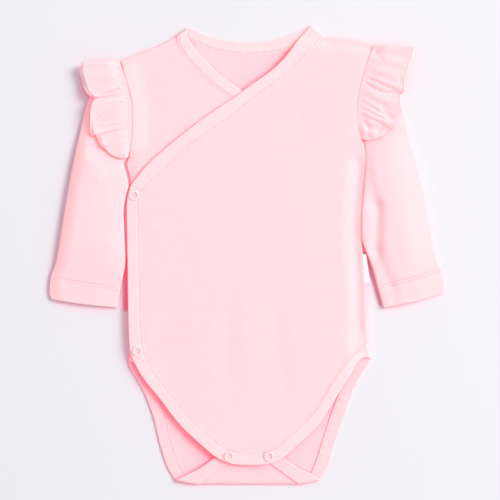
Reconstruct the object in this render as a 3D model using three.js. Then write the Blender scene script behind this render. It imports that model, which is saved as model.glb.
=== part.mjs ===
// A baby's long-sleeved wrap bodysuit in pink cotton jersey, laid flat on its back, about 62 to 68 in size.
// Millimetres. +X is to the right of someone looking down at it, +Y runs to the neck, +Z is up from the surface.
// The origin is on the surface, under the middle of the garment's outline.
import * as THREE from "three";

// Cloth and layers
const CLOTH = 1.2; // one layer of interlock jersey
const BAND = 2.0; // the jersey binding, folded over an edge
const GAP = 0.3; // between two pieces that lie on each other
const SEAM_GAP = 0.5; // between a panel and the binding at its edge
const SEAM_LEVEL = CLOTH + GAP; // underside of a front where it is sewn to the back
const UNDER_LEVEL = BAND + GAP; // underside of the front that lies below
const WRAP_LEVEL = UNDER_LEVEL + BAND + GAP; // underside of the front that wraps over it
const SEAM_SLOPE = 9; // how far from a side or shoulder seam a front reaches its level
const SLEEVE_HEIGHT = WRAP_LEVEL + CLOTH; // a sleeve as it lies, both layers and the air in it
const SLEEVE_ROLL = 4; // reach of the soft roll along a sleeve's folded side
const SNAP_ROOM = 0.8; // the front is held this much higher over the snaps between the legs

// The back is cut in one with a crotch flap that folds up over it along this line
const FOLD_Y = -208.5;
const FOLD_RADIUS = (BAND + GAP) / 2;

// Snaps and label
const SNAP_RADIUS = 4.75;
const SNAP_EYE = 2.4;
const SNAP_HEIGHT = 1;
const SOCKET_RADIUS = 4.2;
const SOCKET_HEIGHT = 0.5;
const LABEL_THICKNESS = 1;

// Ruffles
const RUFFLE_ROOT = SLEEVE_HEIGHT + GAP + CLOTH / 2;
const RUFFLE_GATHERS = 11;
const GATHER_HEIGHT = 0.35;

// A table has named columns and a row for each section, corner or fold.
const table = (columns, rows) => {
  const names = columns.split(" ");
  return rows.map((row) => Object.fromEntries(names.map((name, i) => [name, row[i]])));
};

// Outlines, as they lie
const LEFT_SHOULDER = table("x y", [
  [-99.5, 184.7],
  [-80.5, 192],
]);
const RIGHT_SHOULDER = table("x y", [
  [76, 199],
  [94, 198],
  [104, 195.7],
]);
const LEFT_SIDE = table("x y", [
  [-115.5, 178],
  [-111.5, 163],
  [-107, 146.5],
  [-105, 132],
  [-105, 114.5],
  [-106.5, 99.5],
  [-108.5, 89],
  [-110.5, 84],
  [-108.7, 78],
  [-107, 71],
  [-106, 62.5],
  [-105.8, 50],
  [-105.8, -15],
  [-105.8, -82],
]);
const RIGHT_SIDE = table("x y", [
  [115.5, 193.5],
  [109.5, 174],
  [105.5, 160],
  [102, 143],
  [101.5, 127],
  [102.5, 115.5],
  [105, 106],
  [107, 101.8],
  [108.3, 92],
  [108.6, 81],
  [105.4, 44],
  [104.6, 16],
  [106.1, 1.8],
  [108.2, -26],
  [109.2, -60],
]);
// The lower front's hem is hidden below the wrap
const UNDER_HEM = table("x y", [
  [-108.3, -97],
  [-70, -112],
  [0, -118],
  [50, -96],
  [78, -62],
]);
const FLAP_END = -246; // of the flat cut
const BACK_KNEE_Y = 84; // the underarm: below it, the back's two sides are stepped alike
const BACK_LEG_Y = -82; // where the back's leg openings start

// Bindings: a row gives the folded edge and, across from it, the seam to the panel
const BINDING_COLUMNS = "edgeX edgeY seamX seamY";
const BACK_NECK = table(BINDING_COLUMNS, [
  [-54, 208.5, -64, 201],
  [-46, 205.5, -53.5, 196.5],
  [-38, 202.5, -43, 192],
  [-26, 199, -30, 187.2],
  [-13, 196.6, -15, 184.4],
  [0, 195.5, -0.5, 183],
  [14, 196, 14.5, 183.5],
  [28, 198.6, 30, 186.3],
  [42, 203, 46, 191],
  [54, 208, 60, 196.3],
  [59, 210.5, 70.5, 200],
]);
const UNDER_NECK = table(BINDING_COLUMNS, [
  [-53.5, 208.5, -64.5, 201],
  [-55, 201.5, -64, 195],
  [-51.5, 194.5, -60, 186.5],
  [-46, 187, -54.5, 178.5],
  [-36, 176.5, -44, 167.5],
  [-23, 164, -31, 155],
  [-4, 150.5, -11.5, 141.2],
  [20, 133.5, 13, 124],
  [45, 116, 38, 106.5],
  [76, 95, 69, 85],
]);
const WRAP_NECK = table(BINDING_COLUMNS, [
  [59, 210.7, 71, 199.7],
  [49, 200, 60, 188],
  [38, 185, 47.5, 175],
  [27.5, 173.5, 36, 164.5],
  [17, 165, 24.8, 155],
  [2.5, 155, 9.7, 144.5],
  [-12, 144, -4.5, 133],
  [-35.5, 128.5, -28, 115.5],
  [-57.5, 112, -50, 100],
  [-75, 97.5, -67, 84.7],
  [-92.5, 81.5, -84.5, 68.7],
  [-106.5, 63.5, -95.5, 57],
]);
const WRAP_EDGE = table(BINDING_COLUMNS, [
  [-106.8, 63, -95.8, 56.5],
  [-109.3, 54, -97.2, 50],
  [-110.1, 45, -97.6, 43],
  [-110, 28, -97.5, 28],
  [-109.5, 4.5, -97, 4.5],
  [-109, -39.5, -95.8, -38.5],
  [-108, -77, -94.8, -74],
  [-106.5, -90, -93, -85.5],
  [-96.5, -110.5, -85.8, -103],
  [-79, -132.7, -69, -125.5],
  [-62, -154.7, -53.3, -145.5],
  [-43, -172.7, -36, -162],
  [-29.5, -184, -23.5, -172],
  [-16, -190.5, -12.5, -177],
  [3, -192.2, 3, -179],
  [21, -190.7, 19, -177.6],
  [34, -184.7, 28, -173.2],
  [45.5, -174, 37.2, -164.5],
  [63, -158, 53.8, -149.5],
  [76, -139.5, 65.2, -134],
  [86, -123, 75, -117],
  [95, -109, 84.3, -103],
  [101, -98.8, 92, -94],
  [106.5, -94.4, 100.5, -86.5],
  [113.3, -94.3, 110.4, -80.5],
]);
const WRAP_EDGE_LEG_ROW = 7; // from this row on, the binding runs round the leg openings
const LEFT_LEG_BACK = table(BINDING_COLUMNS, [
  [-109.6, -94, -105.5, -82.5],
  [-108, -103, -97.5, -93.5],
  [-102, -113, -91, -105.5],
  [-94, -128, -83, -122],
  [-86, -149.5, -74.5, -145],
  [-80, -174.5, -68.2, -171],
  [-73.5, -194, -61.7, -189.5],
  [-66, -206.5, -55.5, -200.5],
  [-55.5, -217, -47.5, -207.8],
  [-43, -225.6, -36.5, -215.6],
  [-29.5, -235, -22.5, -225.2],
  [-15, -245.5, -8, -235.7],
]);
const RIGHT_LEG_BACK = table(BINDING_COLUMNS, [
  [114.4, -95.2, 109.5, -83],
  [109, -103.5, 99, -96.5],
  [104.5, -111.3, 93.5, -106.5],
  [97, -127, 86, -122.5],
  [91, -143.3, 79.3, -139.5],
  [81, -173, 69.3, -169.5],
  [74.5, -193.7, 63, -190],
  [68.5, -205, 57.8, -200.3],
  [58.5, -216.5, 50.2, -207.6],
  [46, -226, 39, -216],
  [33, -235.3, 26, -225.5],
  [19.5, -245.5, 12.5, -235.7],
]);

// Sleeves: from the shoulder down the outer side, and from the underarm down the inner side
const LEFT_SLEEVE = {
  armhole: table("x y", [
    [-117, 177.5],
    [-112.3, 163],
    [-107.8, 146.5],
    [-105.7, 132],
    [-105.7, 114.5],
    [-107.2, 99.5],
    [-109.3, 90],
  ]),
  outer: table("x y", [
    [-117, 177.5],
    [-129, 168.5],
    [-139, 156],
    [-146, 140.8],
    [-154, 108.5],
    [-160, 80.5],
    [-166, 48],
    [-173, 4.5],
    [-175.6, -8],
    [-180, -20],
    [-181.1, -36],
    [-179.4, -40.5],
  ]),
  inner: table("x y", [
    [-109.3, 90],
    [-114.4, 83.5],
    [-112.6, 77],
    [-110.8, 71],
    [-110.3, 63],
    [-111.6, 54],
    [-113.2, 41],
    [-112.6, 28],
    [-111.7, 4.5],
    [-111.4, -8],
    [-114.2, -22],
    [-119.4, -48.2],
  ]),
  cuff: table("x y", [
    [-179.4, -40.5],
    [-154, -44.5],
    [-119.4, -48.2],
  ]),
};
const RIGHT_SLEEVE = {
  armhole: table("x y", [
    [117, 193],
    [110.3, 174.2],
    [106.3, 160.2],
    [102.7, 143.2],
    [102.2, 127],
    [103.2, 115.3],
    [105.8, 106.2],
  ]),
  outer: table("x y", [
    [117, 193],
    [127, 180],
    [136, 160],
    [141.5, 138],
    [149.4, 105.5],
    [158.2, 73],
    [165.6, 39.5],
    [171.6, 4.5],
    [175.6, -8.5],
    [179.6, -17],
    [181, -34.5],
  ]),
  inner: table("x y", [
    [105.8, 106.2],
    [110.4, 101.2],
    [111.4, 88],
    [111, 76],
    [108.7, 58.5],
    [107, 43.5],
    [106, 23.5],
    [106.4, 14],
    [108.9, 5],
    [111.5, -3],
    [115.8, -15.3],
    [119.3, -28],
    [125.1, -48.5],
  ]),
  cuff: table("x y", [
    [181, -34.5],
    [152, -42.8],
    [125.1, -48.5],
  ]),
};
const SLEEVE_FOLDS = table("x y width depth", [
  [112, 72, 7, 1],
  [118, 48, 7, 1.3],
  [123.5, 8, 7, 1.3],
  [134, -28, 6, 0.9],
  [-132, 60, 9, 0.9],
  [-136, 20, 10, 1.1],
  [-139, -14, 9, 0.9],
]);

// Ruffles: a row for each rise and dip of the free edge, with its place along the armhole seam and the height
// that the flounce swells to between seam and edge
const RUFFLE_COLUMNS = "along x y z swell";
const LEFT_RUFFLE = table(RUFFLE_COLUMNS, [
  [0, -149.5, 175.3, 8, 0.6],
  [0.07, -152.8, 169.5, 6.2, 2.2],
  [0.16, -150.5, 159, 5.6, 3.4],
  [0.24, -146.8, 149.6, 8, 3.2],
  [0.3, -141.2, 144.2, 10.2, 1.6],
  [0.34, -138.6, 143.4, 7.2, 0.4],
  [0.38, -140.2, 139.6, 9.8, 1.8],
  [0.46, -142.2, 131, 7.6, 2.6],
  [0.53, -142.6, 121, 7.2, 1],
  [0.59, -143, 115, 9.6, 2],
  [0.64, -141.2, 109.2, 11.2, 2],
  [0.68, -137.5, 109.8, 8.2, 0.7],
  [0.73, -135.8, 106, 9.4, 1.8],
  [0.79, -132.8, 99.6, 11, 1.8],
  [0.84, -129.6, 98, 7.4, 0.6],
  [0.92, -122.5, 91.2, 8.4, 1.2],
  [1, -113.6, 87.6, 7, 0.2],
]);
const RIGHT_RUFFLE = table(RUFFLE_COLUMNS, [
  [0, 152, 190, 8, 0.6],
  [0.1, 149.4, 179, 6.8, 2.4],
  [0.19, 146, 168.4, 7.6, 3.2],
  [0.27, 143.4, 157.4, 10, 2.6],
  [0.33, 143, 149.6, 10.4, 1.8],
  [0.38, 139.8, 146.2, 7.2, 0.4],
  [0.46, 139.8, 137, 8.8, 2.2],
  [0.54, 136.9, 128.8, 7.6, 1.6],
  [0.6, 132.8, 123.2, 7.2, 0.4],
  [0.66, 136.2, 120, 10.4, 2],
  [0.71, 133.6, 116.4, 11, 2],
  [0.77, 128.8, 113.4, 7.4, 0.6],
  [0.86, 121.8, 108, 9, 1.6],
  [1, 110.4, 104.6, 7, 0.2],
]);

const SNAPS = table("x y", [
  [-103.2, 54.6],
  [-100.2, -88],
  [-16.3, -184],
  [20.3, -184],
]);
const LABEL = table("x y", [
  [106.7, 0.8],
  [109.3, 0.6],
  [112.8, -25.6],
  [108.8, -26.2],
]);

const smooth = THREE.MathUtils.smoothstep;
const mix = THREE.MathUtils.lerp;

// A smooth line through points, as a function of its share, row by row
const curveThrough = (points) => {
  const vectors = points.map(({ x, y, z = 0 }) => new THREE.Vector3(x, y, z));
  const curve = new THREE.CatmullRomCurve3(vectors, false, "centripetal");
  return (share) => curve.getPoint(share);
};

const LINE_SAMPLES = 160;
const samplesOf = (line, from = 0, to = 1) =>
  Array.from({ length: LINE_SAMPLES + 1 }, (_, i) => line(mix(from, to, i / LINE_SAMPLES)));

// The same line, read by even steps of length
const evenly = (samples) => {
  const reach = [0];
  samples.slice(1).forEach((p, i) => reach.push(reach[i] + p.distanceTo(samples[i])));
  return between(samples, reach, 0, reach.at(-1));
};

// The same line, read by even steps down the garment
const downwards = (samples) => {
  const fall = samples.map((p) => samples[0].y - p.y);
  return between(samples, fall, 0, fall.at(-1));
};

// The same line, read by even steps from left to right
const rightwards = (samples) => {
  const reach = samples.map((p) => p.x - samples[0].x);
  return between(samples, reach, 0, reach.at(-1));
};

// Two lines down the garment in one, above and below a height, so that two sides can share their lower steps
const downwardsBy = (samples, knee) => {
  const bend = new THREE.Vector3(lookUp(samples, "y", knee.y), knee.y, 0);
  const above = downwards([...samples.filter((p) => p.y > knee.y), bend]);
  const below = downwards([bend, ...samples.filter((p) => p.y < knee.y)]);
  return (share) =>
    share < knee.share ? above(share / knee.share) : below((share - knee.share) / (1 - knee.share));
};

function between(samples, measures, first, last) {
  return (share) => {
    const wanted = mix(first, last, share);
    const next = measures.findIndex((m, i) => i > 0 && m >= wanted);
    const i = next < 0 ? samples.length - 1 : next;
    const span = measures[i] - measures[i - 1] || 1;
    const t = THREE.MathUtils.clamp((wanted - measures[i - 1]) / span, 0, 1);
    return samples[i - 1].clone().lerp(samples[i], t);
  };
}

// What a line's x is at a height, or its y at an x
const lookUp = (samples, key, value) => {
  const other = key === "y" ? "x" : "y";
  const i = samples.findIndex((p, n) => n > 0 && (p[key] - value) * (samples[n - 1][key] - value) <= 0);
  if (i < 0) {
    const [first, last] = [samples[0], samples.at(-1)];
    return (Math.abs(first[key] - value) < Math.abs(last[key] - value) ? first : last)[other];
  }
  const [a, b] = [samples[i - 1], samples[i]];
  return mix(a[other], b[other], (value - a[key]) / (b[key] - a[key] || 1));
};

// A binding's two long sides, and the panel's edge just across its seam
function bindingLines(rows) {
  const edge = curveThrough(rows.map(({ edgeX, edgeY }) => ({ x: edgeX, y: edgeY })));
  const seam = curveThrough(rows.map(({ seamX, seamY }) => ({ x: seamX, y: seamY })));
  const panel = (share) => {
    const inwards = seam(share).sub(edge(share)).setLength(SEAM_GAP);
    return seam(share).add(inwards);
  };
  return { edge, seam, panel };
}

// A four-sided piece of cloth between its top, bottom, left and right lines, which share their corners. The top
// line's bow dies away down the piece, and sooner where fade is above 1.
function patch({ top, bottom, left, right, fade = 1 }) {
  const bow = (line, u) => line(u).sub(line(0).lerp(line(1), u));
  return (u, v) => {
    const point = left(v).lerp(right(v), u);
    point.addScaledVector(bow(top, u), (1 - v) ** fade);
    return point.addScaledVector(bow(bottom, u), v);
  };
}

// Even steps between chosen shares, so that a corner of the cloth falls on a step
const steps = (shares, counts) => [
  ...counts.flatMap((count, i) =>
    Array.from({ length: count }, (_, n) => mix(shares[i], shares[i + 1], n / count)),
  ),
  shares.at(-1),
];

// A wall of cloth about a middle surface, as thick as thicknessAt says
function wall(pointAt, across, along, thicknessAt) {
  const NUDGE = 1e-3;
  const positions = [];
  along.forEach((v) =>
    across.forEach((u) => {
      const [u0, u1] = [Math.max(u - NUDGE, 0), Math.min(u + NUDGE, 1)];
      const [v0, v1] = [Math.max(v - NUDGE, 0), Math.min(v + NUDGE, 1)];
      const down = pointAt(u, v1).sub(pointAt(u, v0));
      const sideways = pointAt(u1, v).sub(pointAt(u0, v));
      const normal = down.cross(sideways).normalize();
      const half = thicknessAt(u, v) / 2;
      positions.push(pointAt(u, v).addScaledVector(normal, half));
      positions.push(pointAt(u, v).addScaledVector(normal, -half));
    }),
  );
  const wide = across.length;
  const upper = (i, j) => 2 * (j * wide + i);
  const lower = (i, j) => upper(i, j) + 1;
  const faces = [];
  const quad = (a, b, c, d) => faces.push(a, b, c, a, c, d);
  for (let j = 0; j + 1 < along.length; j += 1) {
    for (let i = 0; i + 1 < wide; i += 1) {
      quad(upper(i, j), upper(i, j + 1), upper(i + 1, j + 1), upper(i + 1, j));
      quad(lower(i, j), lower(i + 1, j), lower(i + 1, j + 1), lower(i, j + 1));
    }
    quad(upper(0, j + 1), upper(0, j), lower(0, j), lower(0, j + 1));
    quad(upper(wide - 1, j), upper(wide - 1, j + 1), lower(wide - 1, j + 1), lower(wide - 1, j));
  }
  const last = along.length - 1;
  for (let i = 0; i + 1 < wide; i += 1) {
    quad(upper(i, 0), upper(i + 1, 0), lower(i + 1, 0), lower(i, 0));
    quad(upper(i + 1, last), upper(i, last), lower(i, last), lower(i + 1, last));
  }
  return solid(positions, faces);
}

function solid(positions, faces) {
  const geometry = new THREE.BufferGeometry();
  geometry.setFromPoints(positions);
  geometry.setIndex(faces);
  geometry.computeVertexNormals();
  return geometry;
}

const COLOURS = { jersey: 0xf8cfd6, binding: 0xf9d3d9, snap: 0xf3dcd6, label: 0xf6f5f3 };
const garment = new THREE.Group();

function piece(name, geometry, colour, roughness = 0.9) {
  const mesh = new THREE.Mesh(
    geometry,
    new THREE.MeshStandardMaterial({ color: COLOURS[colour], roughness, metalness: 0 }),
  );
  mesh.name = name;
  garment.add(mesh);
  return mesh;
}

// Seam lines that several pieces share
const leftSide = samplesOf(curveThrough(LEFT_SIDE));
const rightSide = samplesOf(curveThrough(RIGHT_SIDE));
const backNeck = bindingLines(BACK_NECK);
const underNeck = bindingLines(UNDER_NECK);
const wrapNeck = bindingLines(WRAP_NECK);
const wrapEdge = bindingLines(WRAP_EDGE);
const leftLegBack = bindingLines(LEFT_LEG_BACK);
const rightLegBack = bindingLines(RIGHT_LEG_BACK);
const leftShoulder = samplesOf(curveThrough([LEFT_SIDE[0], ...LEFT_SHOULDER, underNeck.panel(0)]));
const rightShoulder = samplesOf(curveThrough([wrapNeck.panel(0), ...RIGHT_SHOULDER, RIGHT_SIDE[0]]));

// 0 on a seam, 1 from SEAM_SLOPE inside it
const awayFromShoulder = (x, y, shoulder) => smooth(lookUp(shoulder, "x", x) - y, 0, SEAM_SLOPE);
const ARMHOLE_END = { low: 84, high: 96 };
const belowArmhole = (y) => 1 - smooth(y, ARMHOLE_END.low, ARMHOLE_END.high);
const CROTCH = { low: 150, high: 172 }; // how far down the front starts to rise over the snaps, and has risen
const HIP = { low: -77, high: -63 }; // below this the lower front lies on the back's leg binding
const UNDERARM = { low: 88, high: 100 }; // above this the lower front rises beside the sleeve, as the wrap does

function wrapLevel(x, y, seamLevel) {
  const side = smooth(lookUp(rightSide, "y", y) - x, 0, SEAM_SLOPE);
  const besideSleeve = mix(1, side, belowArmhole(y));
  const shoulder = x > 0 ? awayFromShoulder(x, y, rightShoulder) : 1;
  const overSnaps = SNAP_ROOM * smooth(-y, CROTCH.low, CROTCH.high);
  return mix(seamLevel, WRAP_LEVEL + overSnaps, Math.min(besideSleeve, shoulder));
}

function underLevel(x, y) {
  const inside = x - lookUp(leftSide, "y", y);
  const side = smooth(inside, 0, SEAM_SLOPE);
  const besideSleeve = mix(1, side, belowArmhole(y));
  const shoulder = x < 0 ? awayFromShoulder(x, y, leftShoulder) : 1;
  const seamLevel = mix(UNDER_LEVEL, SEAM_LEVEL, smooth(y, HIP.low, HIP.high));
  const settled = mix(seamLevel, UNDER_LEVEL, Math.min(besideSleeve, shoulder));
  const nearSleeve = 1 - smooth(inside, 0, 2 * SEAM_SLOPE);
  const towardsSleeve = nearSleeve * smooth(y, UNDERARM.low, UNDERARM.high) * shoulder;
  return settled + (WRAP_LEVEL - UNDER_LEVEL) * towardsSleeve;
}

// The flat cut folded up at the crotch: beyond the fold line the cloth turns over and lies on itself
function foldUp({ x, y }, middle) {
  const beyond = FOLD_Y - y;
  if (beyond <= 0) return new THREE.Vector3(x, y, middle);
  const turn = Math.min(beyond / FOLD_RADIUS, Math.PI);
  const flat = Math.max(beyond - Math.PI * FOLD_RADIUS, 0);
  return new THREE.Vector3(
    x,
    FOLD_Y - FOLD_RADIUS * Math.sin(turn) + flat,
    middle + FOLD_RADIUS * (1 - Math.cos(turn)),
  );
}
const FOLD_STEPS = 6;
const TURN_END = FOLD_Y - Math.PI * FOLD_RADIUS;

function backPanel() {
  const shareOfY = (y) => (LEFT_SIDE[0].y - y) / (LEFT_SIDE[0].y - FLAP_END);
  const knee = { y: BACK_KNEE_Y, share: shareOfY(BACK_KNEE_Y) };
  const sideLine = (side, leg) => {
    const end = new THREE.Vector3(leg.panel(1).x, FLAP_END, 0);
    return downwardsBy([...side, ...samplesOf(leg.panel), end], knee);
  };
  const left = sideLine(leftSide, leftLegBack);
  const right = sideLine(rightSide, rightLegBack);
  const neck = samplesOf(backNeck.panel);
  const topSamples = [...leftShoulder, ...neck, ...rightShoulder];
  const top = rightwards(topSamples);
  const bottom = (u) => left(1).lerp(right(1), u);
  const cut = patch({ top, bottom, left, right });
  const shareOfX = (x) => (x - topSamples[0].x) / (topSamples.at(-1).x - topSamples[0].x);
  const across = steps([0, shareOfX(neck[0].x), shareOfX(neck.at(-1).x), 1], [3, 10, 3]);
  const flapCorner = leftLegBack.panel(1).y;
  const along = steps(
    [0, knee.share, shareOfY(BACK_LEG_Y), shareOfY(FOLD_Y), shareOfY(TURN_END), shareOfY(flapCorner), 1],
    [8, 4, 15, FOLD_STEPS, 4, 1],
  );
  return wall((u, v) => foldUp(cut(u, v), CLOTH / 2), across, along, () => CLOTH);
}

function underFront() {
  const left = downwards([...leftSide, new THREE.Vector3(UNDER_HEM[0].x, UNDER_HEM[0].y, 0)]);
  const neckEnd = underNeck.panel(1);
  const hem = curveThrough(UNDER_HEM);
  const right = downwards([...samplesOf(underNeck.panel), hem(1)]);
  const top = evenly(leftShoulder);
  const cut = patch({ top, bottom: hem, left, right });
  const shareOfY = (y) => (right(0).y - y) / (right(0).y - hem(1).y);
  const along = steps([0, shareOfY(neckEnd.y), 1], [17, 5]);
  const middle = (u, v) => {
    const p = cut(u, v);
    return p.setZ(underLevel(p.x, p.y) + CLOTH / 2);
  };
  const sideStrip = 0.2; // its steps are closer, because the cloth slopes there
  return wall(middle, steps([0, sideStrip, 1], [4, 8]), along, () => CLOTH);
}

function wrapFront() {
  const legShare = WRAP_EDGE_LEG_ROW / (WRAP_EDGE.length - 1);
  const leg = (u) => wrapEdge.panel(mix(legShare, 1, u));
  const neck = samplesOf(wrapNeck.panel);
  const left = downwards([...neck, ...samplesOf(wrapEdge.panel, 0, legShare)]);
  const right = downwards([...rightSide, leg(1)]);
  const top = evenly(rightShoulder);
  const cut = patch({ top, bottom: evenly(samplesOf(leg)), left, right });
  const shareOfY = (y) => (left(0).y - y) / (left(0).y - left(1).y);
  const along = steps([0, shareOfY(neck.at(-1).y), 1], [13, 10]);
  const middle = (u, v) => {
    const p = cut(u, v);
    return p.setZ(wrapLevel(p.x, p.y, SEAM_LEVEL) + CLOTH / 2);
  };
  const sideStrip = 0.88; // beyond it the steps are closer, because the cloth slopes there
  return wall(middle, steps([0, sideStrip, 1], [13, 5]), along, () => CLOTH);
}

// A binding is thin where it starts at the seam and rounds off at its folded edge
const BINDING_START = { across: 0.16, thickness: 0.8 };
const BINDING_TIP = { across: 0.84, thickness: 0.5 };
function binding({ edge, seam }, along, placeAt, panes = 1) {
  const across = steps([0, BINDING_START.across, BINDING_TIP.across, 1], [1, panes, 1]);
  const thicknessAt = (u) => {
    if (u < BINDING_START.across) return BAND * BINDING_START.thickness;
    return u > BINDING_TIP.across ? BAND * BINDING_TIP.thickness : BAND;
  };
  const middle = (u, v) => placeAt(seam(v).lerp(edge(v), u));
  return wall(middle, across, along, thicknessAt);
}
const lyingBinding = (lines, count, levelAt) =>
  binding(lines, steps([0, 1], [count]), (p) => p.setZ(levelAt(p.x, p.y) + BAND / 2));

// The back's leg bindings follow its cut over the fold, with short steps round the turn, which they cross aslant
const BINDING_WIDTH = 12;
const FOLD_PANES = 4;
function legBinding(lines) {
  const edge = samplesOf(lines.edge);
  const shareAt = (y) => edge.findIndex((p) => p.y <= y) / LINE_SAMPLES;
  const [before, after] = [shareAt(FOLD_Y + 1), shareAt(TURN_END - BINDING_WIDTH)];
  return binding(lines, steps([0, before, after, 1], [8, 20, 4]), (p) => foldUp(p, BAND / 2), FOLD_PANES);
}

// A sleeve is a tube laid flat: a ring of points for each section, an outer and an inner one
const SLEEVE_PANES = 8;
const SLEEVE_SHARES = [0, 0.3, 1]; // down the sleeve, with closer sections in the first part
const SLEEVE_COUNTS = [9, 10];
const ARMHOLE_FADE = 8; // how soon the armhole's bow dies away down the sleeve
const INNER_LAG = 1.8; // the sections lie closer down the short inner side, which starts with the underarm's notch
function sleeveDip(x, y) {
  return SLEEVE_FOLDS.reduce((deepest, fold) => {
    const reach = Math.hypot(x - fold.x, (y - fold.y) / 3);
    return Math.max(deepest, fold.depth * Math.exp(-((reach / fold.width) ** 2)));
  }, 0);
}
function sleeve({ armhole, outer, inner, cuff }) {
  const innerSide = evenly(samplesOf(curveThrough(inner)));
  const cut = patch({
    top: evenly(samplesOf(curveThrough(armhole))),
    bottom: evenly(samplesOf(curveThrough(cuff))),
    left: evenly(samplesOf(curveThrough(outer))),
    right: (v) => innerSide(v ** INNER_LAG),
    fade: ARMHOLE_FADE,
  });
  const half = SLEEVE_HEIGHT / 2;
  const roll = (reach, skin) => {
    const t = THREE.MathUtils.clamp((reach - skin) / (SLEEVE_ROLL - skin), 0, 1);
    return (half - skin) * Math.sqrt(1 - (1 - t) ** 2);
  };
  const ring = (v, skin) => {
    const width = cut(0, v).distanceTo(cut(1, v));
    const near = [skin, skin + (SLEEVE_ROLL - skin) * 0.3, SLEEVE_ROLL].map((reach) => reach / width);
    const middle = steps([near[2], 1 - near[2]], [SLEEVE_PANES]).slice(1, -1);
    const shares = [...near, ...middle, ...near.map((share) => 1 - share).reverse()];
    const pointOn = (share, side) => {
      const p = cut(share, v);
      const height = roll(Math.min(share, 1 - share) * width, skin);
      const dip = side > 0 ? sleeveDip(p.x, p.y) * (height / (half - skin)) : 0;
      return p.setZ(half + side * height - dip);
    };
    const over = shares.map((share) => pointOn(share, 1));
    const under = shares.slice(1, -1).reverse().map((share) => pointOn(share, -1));
    return [...over, ...under];
  };
  const sections = steps(SLEEVE_SHARES, SLEEVE_COUNTS);
  const end = sections.length - 1;
  const outerRings = sections.map((v) => ring(v, 0));
  const innerRings = sections.map((v) => ring(v, CLOTH));
  const count = outerRings[0].length;
  const at = (skin, j, i) => (skin * sections.length + j) * count + (i % count);
  const faces = [];
  const quad = (a, b, c, d) => faces.push(a, b, c, a, c, d);
  for (let i = 0; i < count; i += 1) {
    for (let j = 0; j < end; j += 1) {
      quad(at(0, j, i), at(0, j + 1, i), at(0, j + 1, i + 1), at(0, j, i + 1));
      quad(at(1, j, i), at(1, j, i + 1), at(1, j + 1, i + 1), at(1, j + 1, i));
    }
    quad(at(0, 0, i), at(0, 0, i + 1), at(1, 0, i + 1), at(1, 0, i));
    quad(at(0, end, i), at(1, end, i), at(1, end, i + 1), at(0, end, i + 1));
  }
  return { positions: [...outerRings, ...innerRings].flat(), faces };
}

// A gathered flounce: sewn in along the armhole, waving more and more towards its free edge
const RUFFLE_ROW_STEPS = 3;
const RUFFLE_PANES = 5;
const EDGE_CURL = 2.4; // how late, from seam to edge, the flounce turns to its edge's height
function ruffle(rows, { armhole }) {
  const seam = evenly(samplesOf(curveThrough(armhole)));
  const root = curveThrough(rows.map(({ along }) => seam(along).setZ(RUFFLE_ROOT)));
  const edge = curveThrough(rows);
  const swell = curveThrough(rows.map((row) => ({ x: row.swell, y: 0 })));
  const middle = (u, v) => {
    const [from, to] = [root(v), edge(v)];
    const p = from.clone().lerp(to, u);
    const gather = GATHER_HEIGHT * Math.sin(2 * Math.PI * RUFFLE_GATHERS * v) * Math.sin(Math.PI * u);
    const rise = swell(v).x * Math.sin(Math.PI * u ** 0.8);
    return p.setZ(mix(from.z, to.z, u ** EDGE_CURL) + rise + gather);
  };
  const across = steps([0, 1], [RUFFLE_PANES]);
  const along = steps([0, 1], [RUFFLE_ROW_STEPS * (rows.length - 1)]);
  return wall(middle, across, along, () => CLOTH);
}

// A ring snap: the pale ring pressed on the outside, and the socket and stud between the layers
function snapRing() {
  const profile = [
    [SNAP_EYE, 0.15],
    [SNAP_RADIUS - 0.3, 0],
    [SNAP_RADIUS, 0.4],
    [SNAP_RADIUS - 0.5, 0.85],
    [(SNAP_RADIUS + SNAP_EYE) / 2, SNAP_HEIGHT],
    [SNAP_EYE + 0.1, 0.75],
    [SNAP_EYE, 0.15],
  ].map(([radius, height]) => new THREE.Vector2(radius, height));
  return new THREE.LatheGeometry(profile, 20).rotateX(Math.PI / 2);
}
function snapSocket() {
  return new THREE.CylinderGeometry(SOCKET_RADIUS, SOCKET_RADIUS, SOCKET_HEIGHT, 16).rotateX(Math.PI / 2);
}

function label() {
  const [tl, tr, br, bl] = LABEL.map(({ x, y }) => new THREE.Vector3(x, y, SEAM_LEVEL + LABEL_THICKNESS / 2));
  const middle = (u, v) => tl.clone().lerp(tr, u).lerp(bl.clone().lerp(br, u), v);
  return wall(middle, steps([0, 1], [2]), steps([0, 1], [4]), () => LABEL_THICKNESS);
}

piece("back_panel", backPanel(), "jersey");
piece("under_front", underFront(), "jersey");
piece("wrap_front", wrapFront(), "jersey");
const leftTube = sleeve(LEFT_SLEEVE);
piece("sleeve_left", solid(leftTube.positions, leftTube.faces), "jersey");
// On the right the outer side comes first when seen from the other way, so its faces are turned round
const rightTube = sleeve(RIGHT_SLEEVE);
piece("sleeve_right", solid(rightTube.positions, rightTube.faces.reverse()), "jersey");
piece("ruffle_left", ruffle(LEFT_RUFFLE, LEFT_SLEEVE), "jersey");
piece("ruffle_right", ruffle(RIGHT_RUFFLE, RIGHT_SLEEVE), "jersey");
const wrapBindingLevel = (x, y) => wrapLevel(x, y, UNDER_LEVEL);
piece("back_neck_binding", lyingBinding(backNeck, 20, () => 0), "binding");
piece("under_neck_binding", lyingBinding(underNeck, 20, () => UNDER_LEVEL), "binding");
piece("wrap_neck_binding", lyingBinding(wrapNeck, 26, wrapBindingLevel), "binding");
piece("wrap_edge_binding", lyingBinding(wrapEdge, 56, wrapBindingLevel), "binding");
piece("back_leg_binding_left", legBinding(leftLegBack), "binding");
piece("back_leg_binding_right", legBinding(rightLegBack), "binding");

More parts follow.
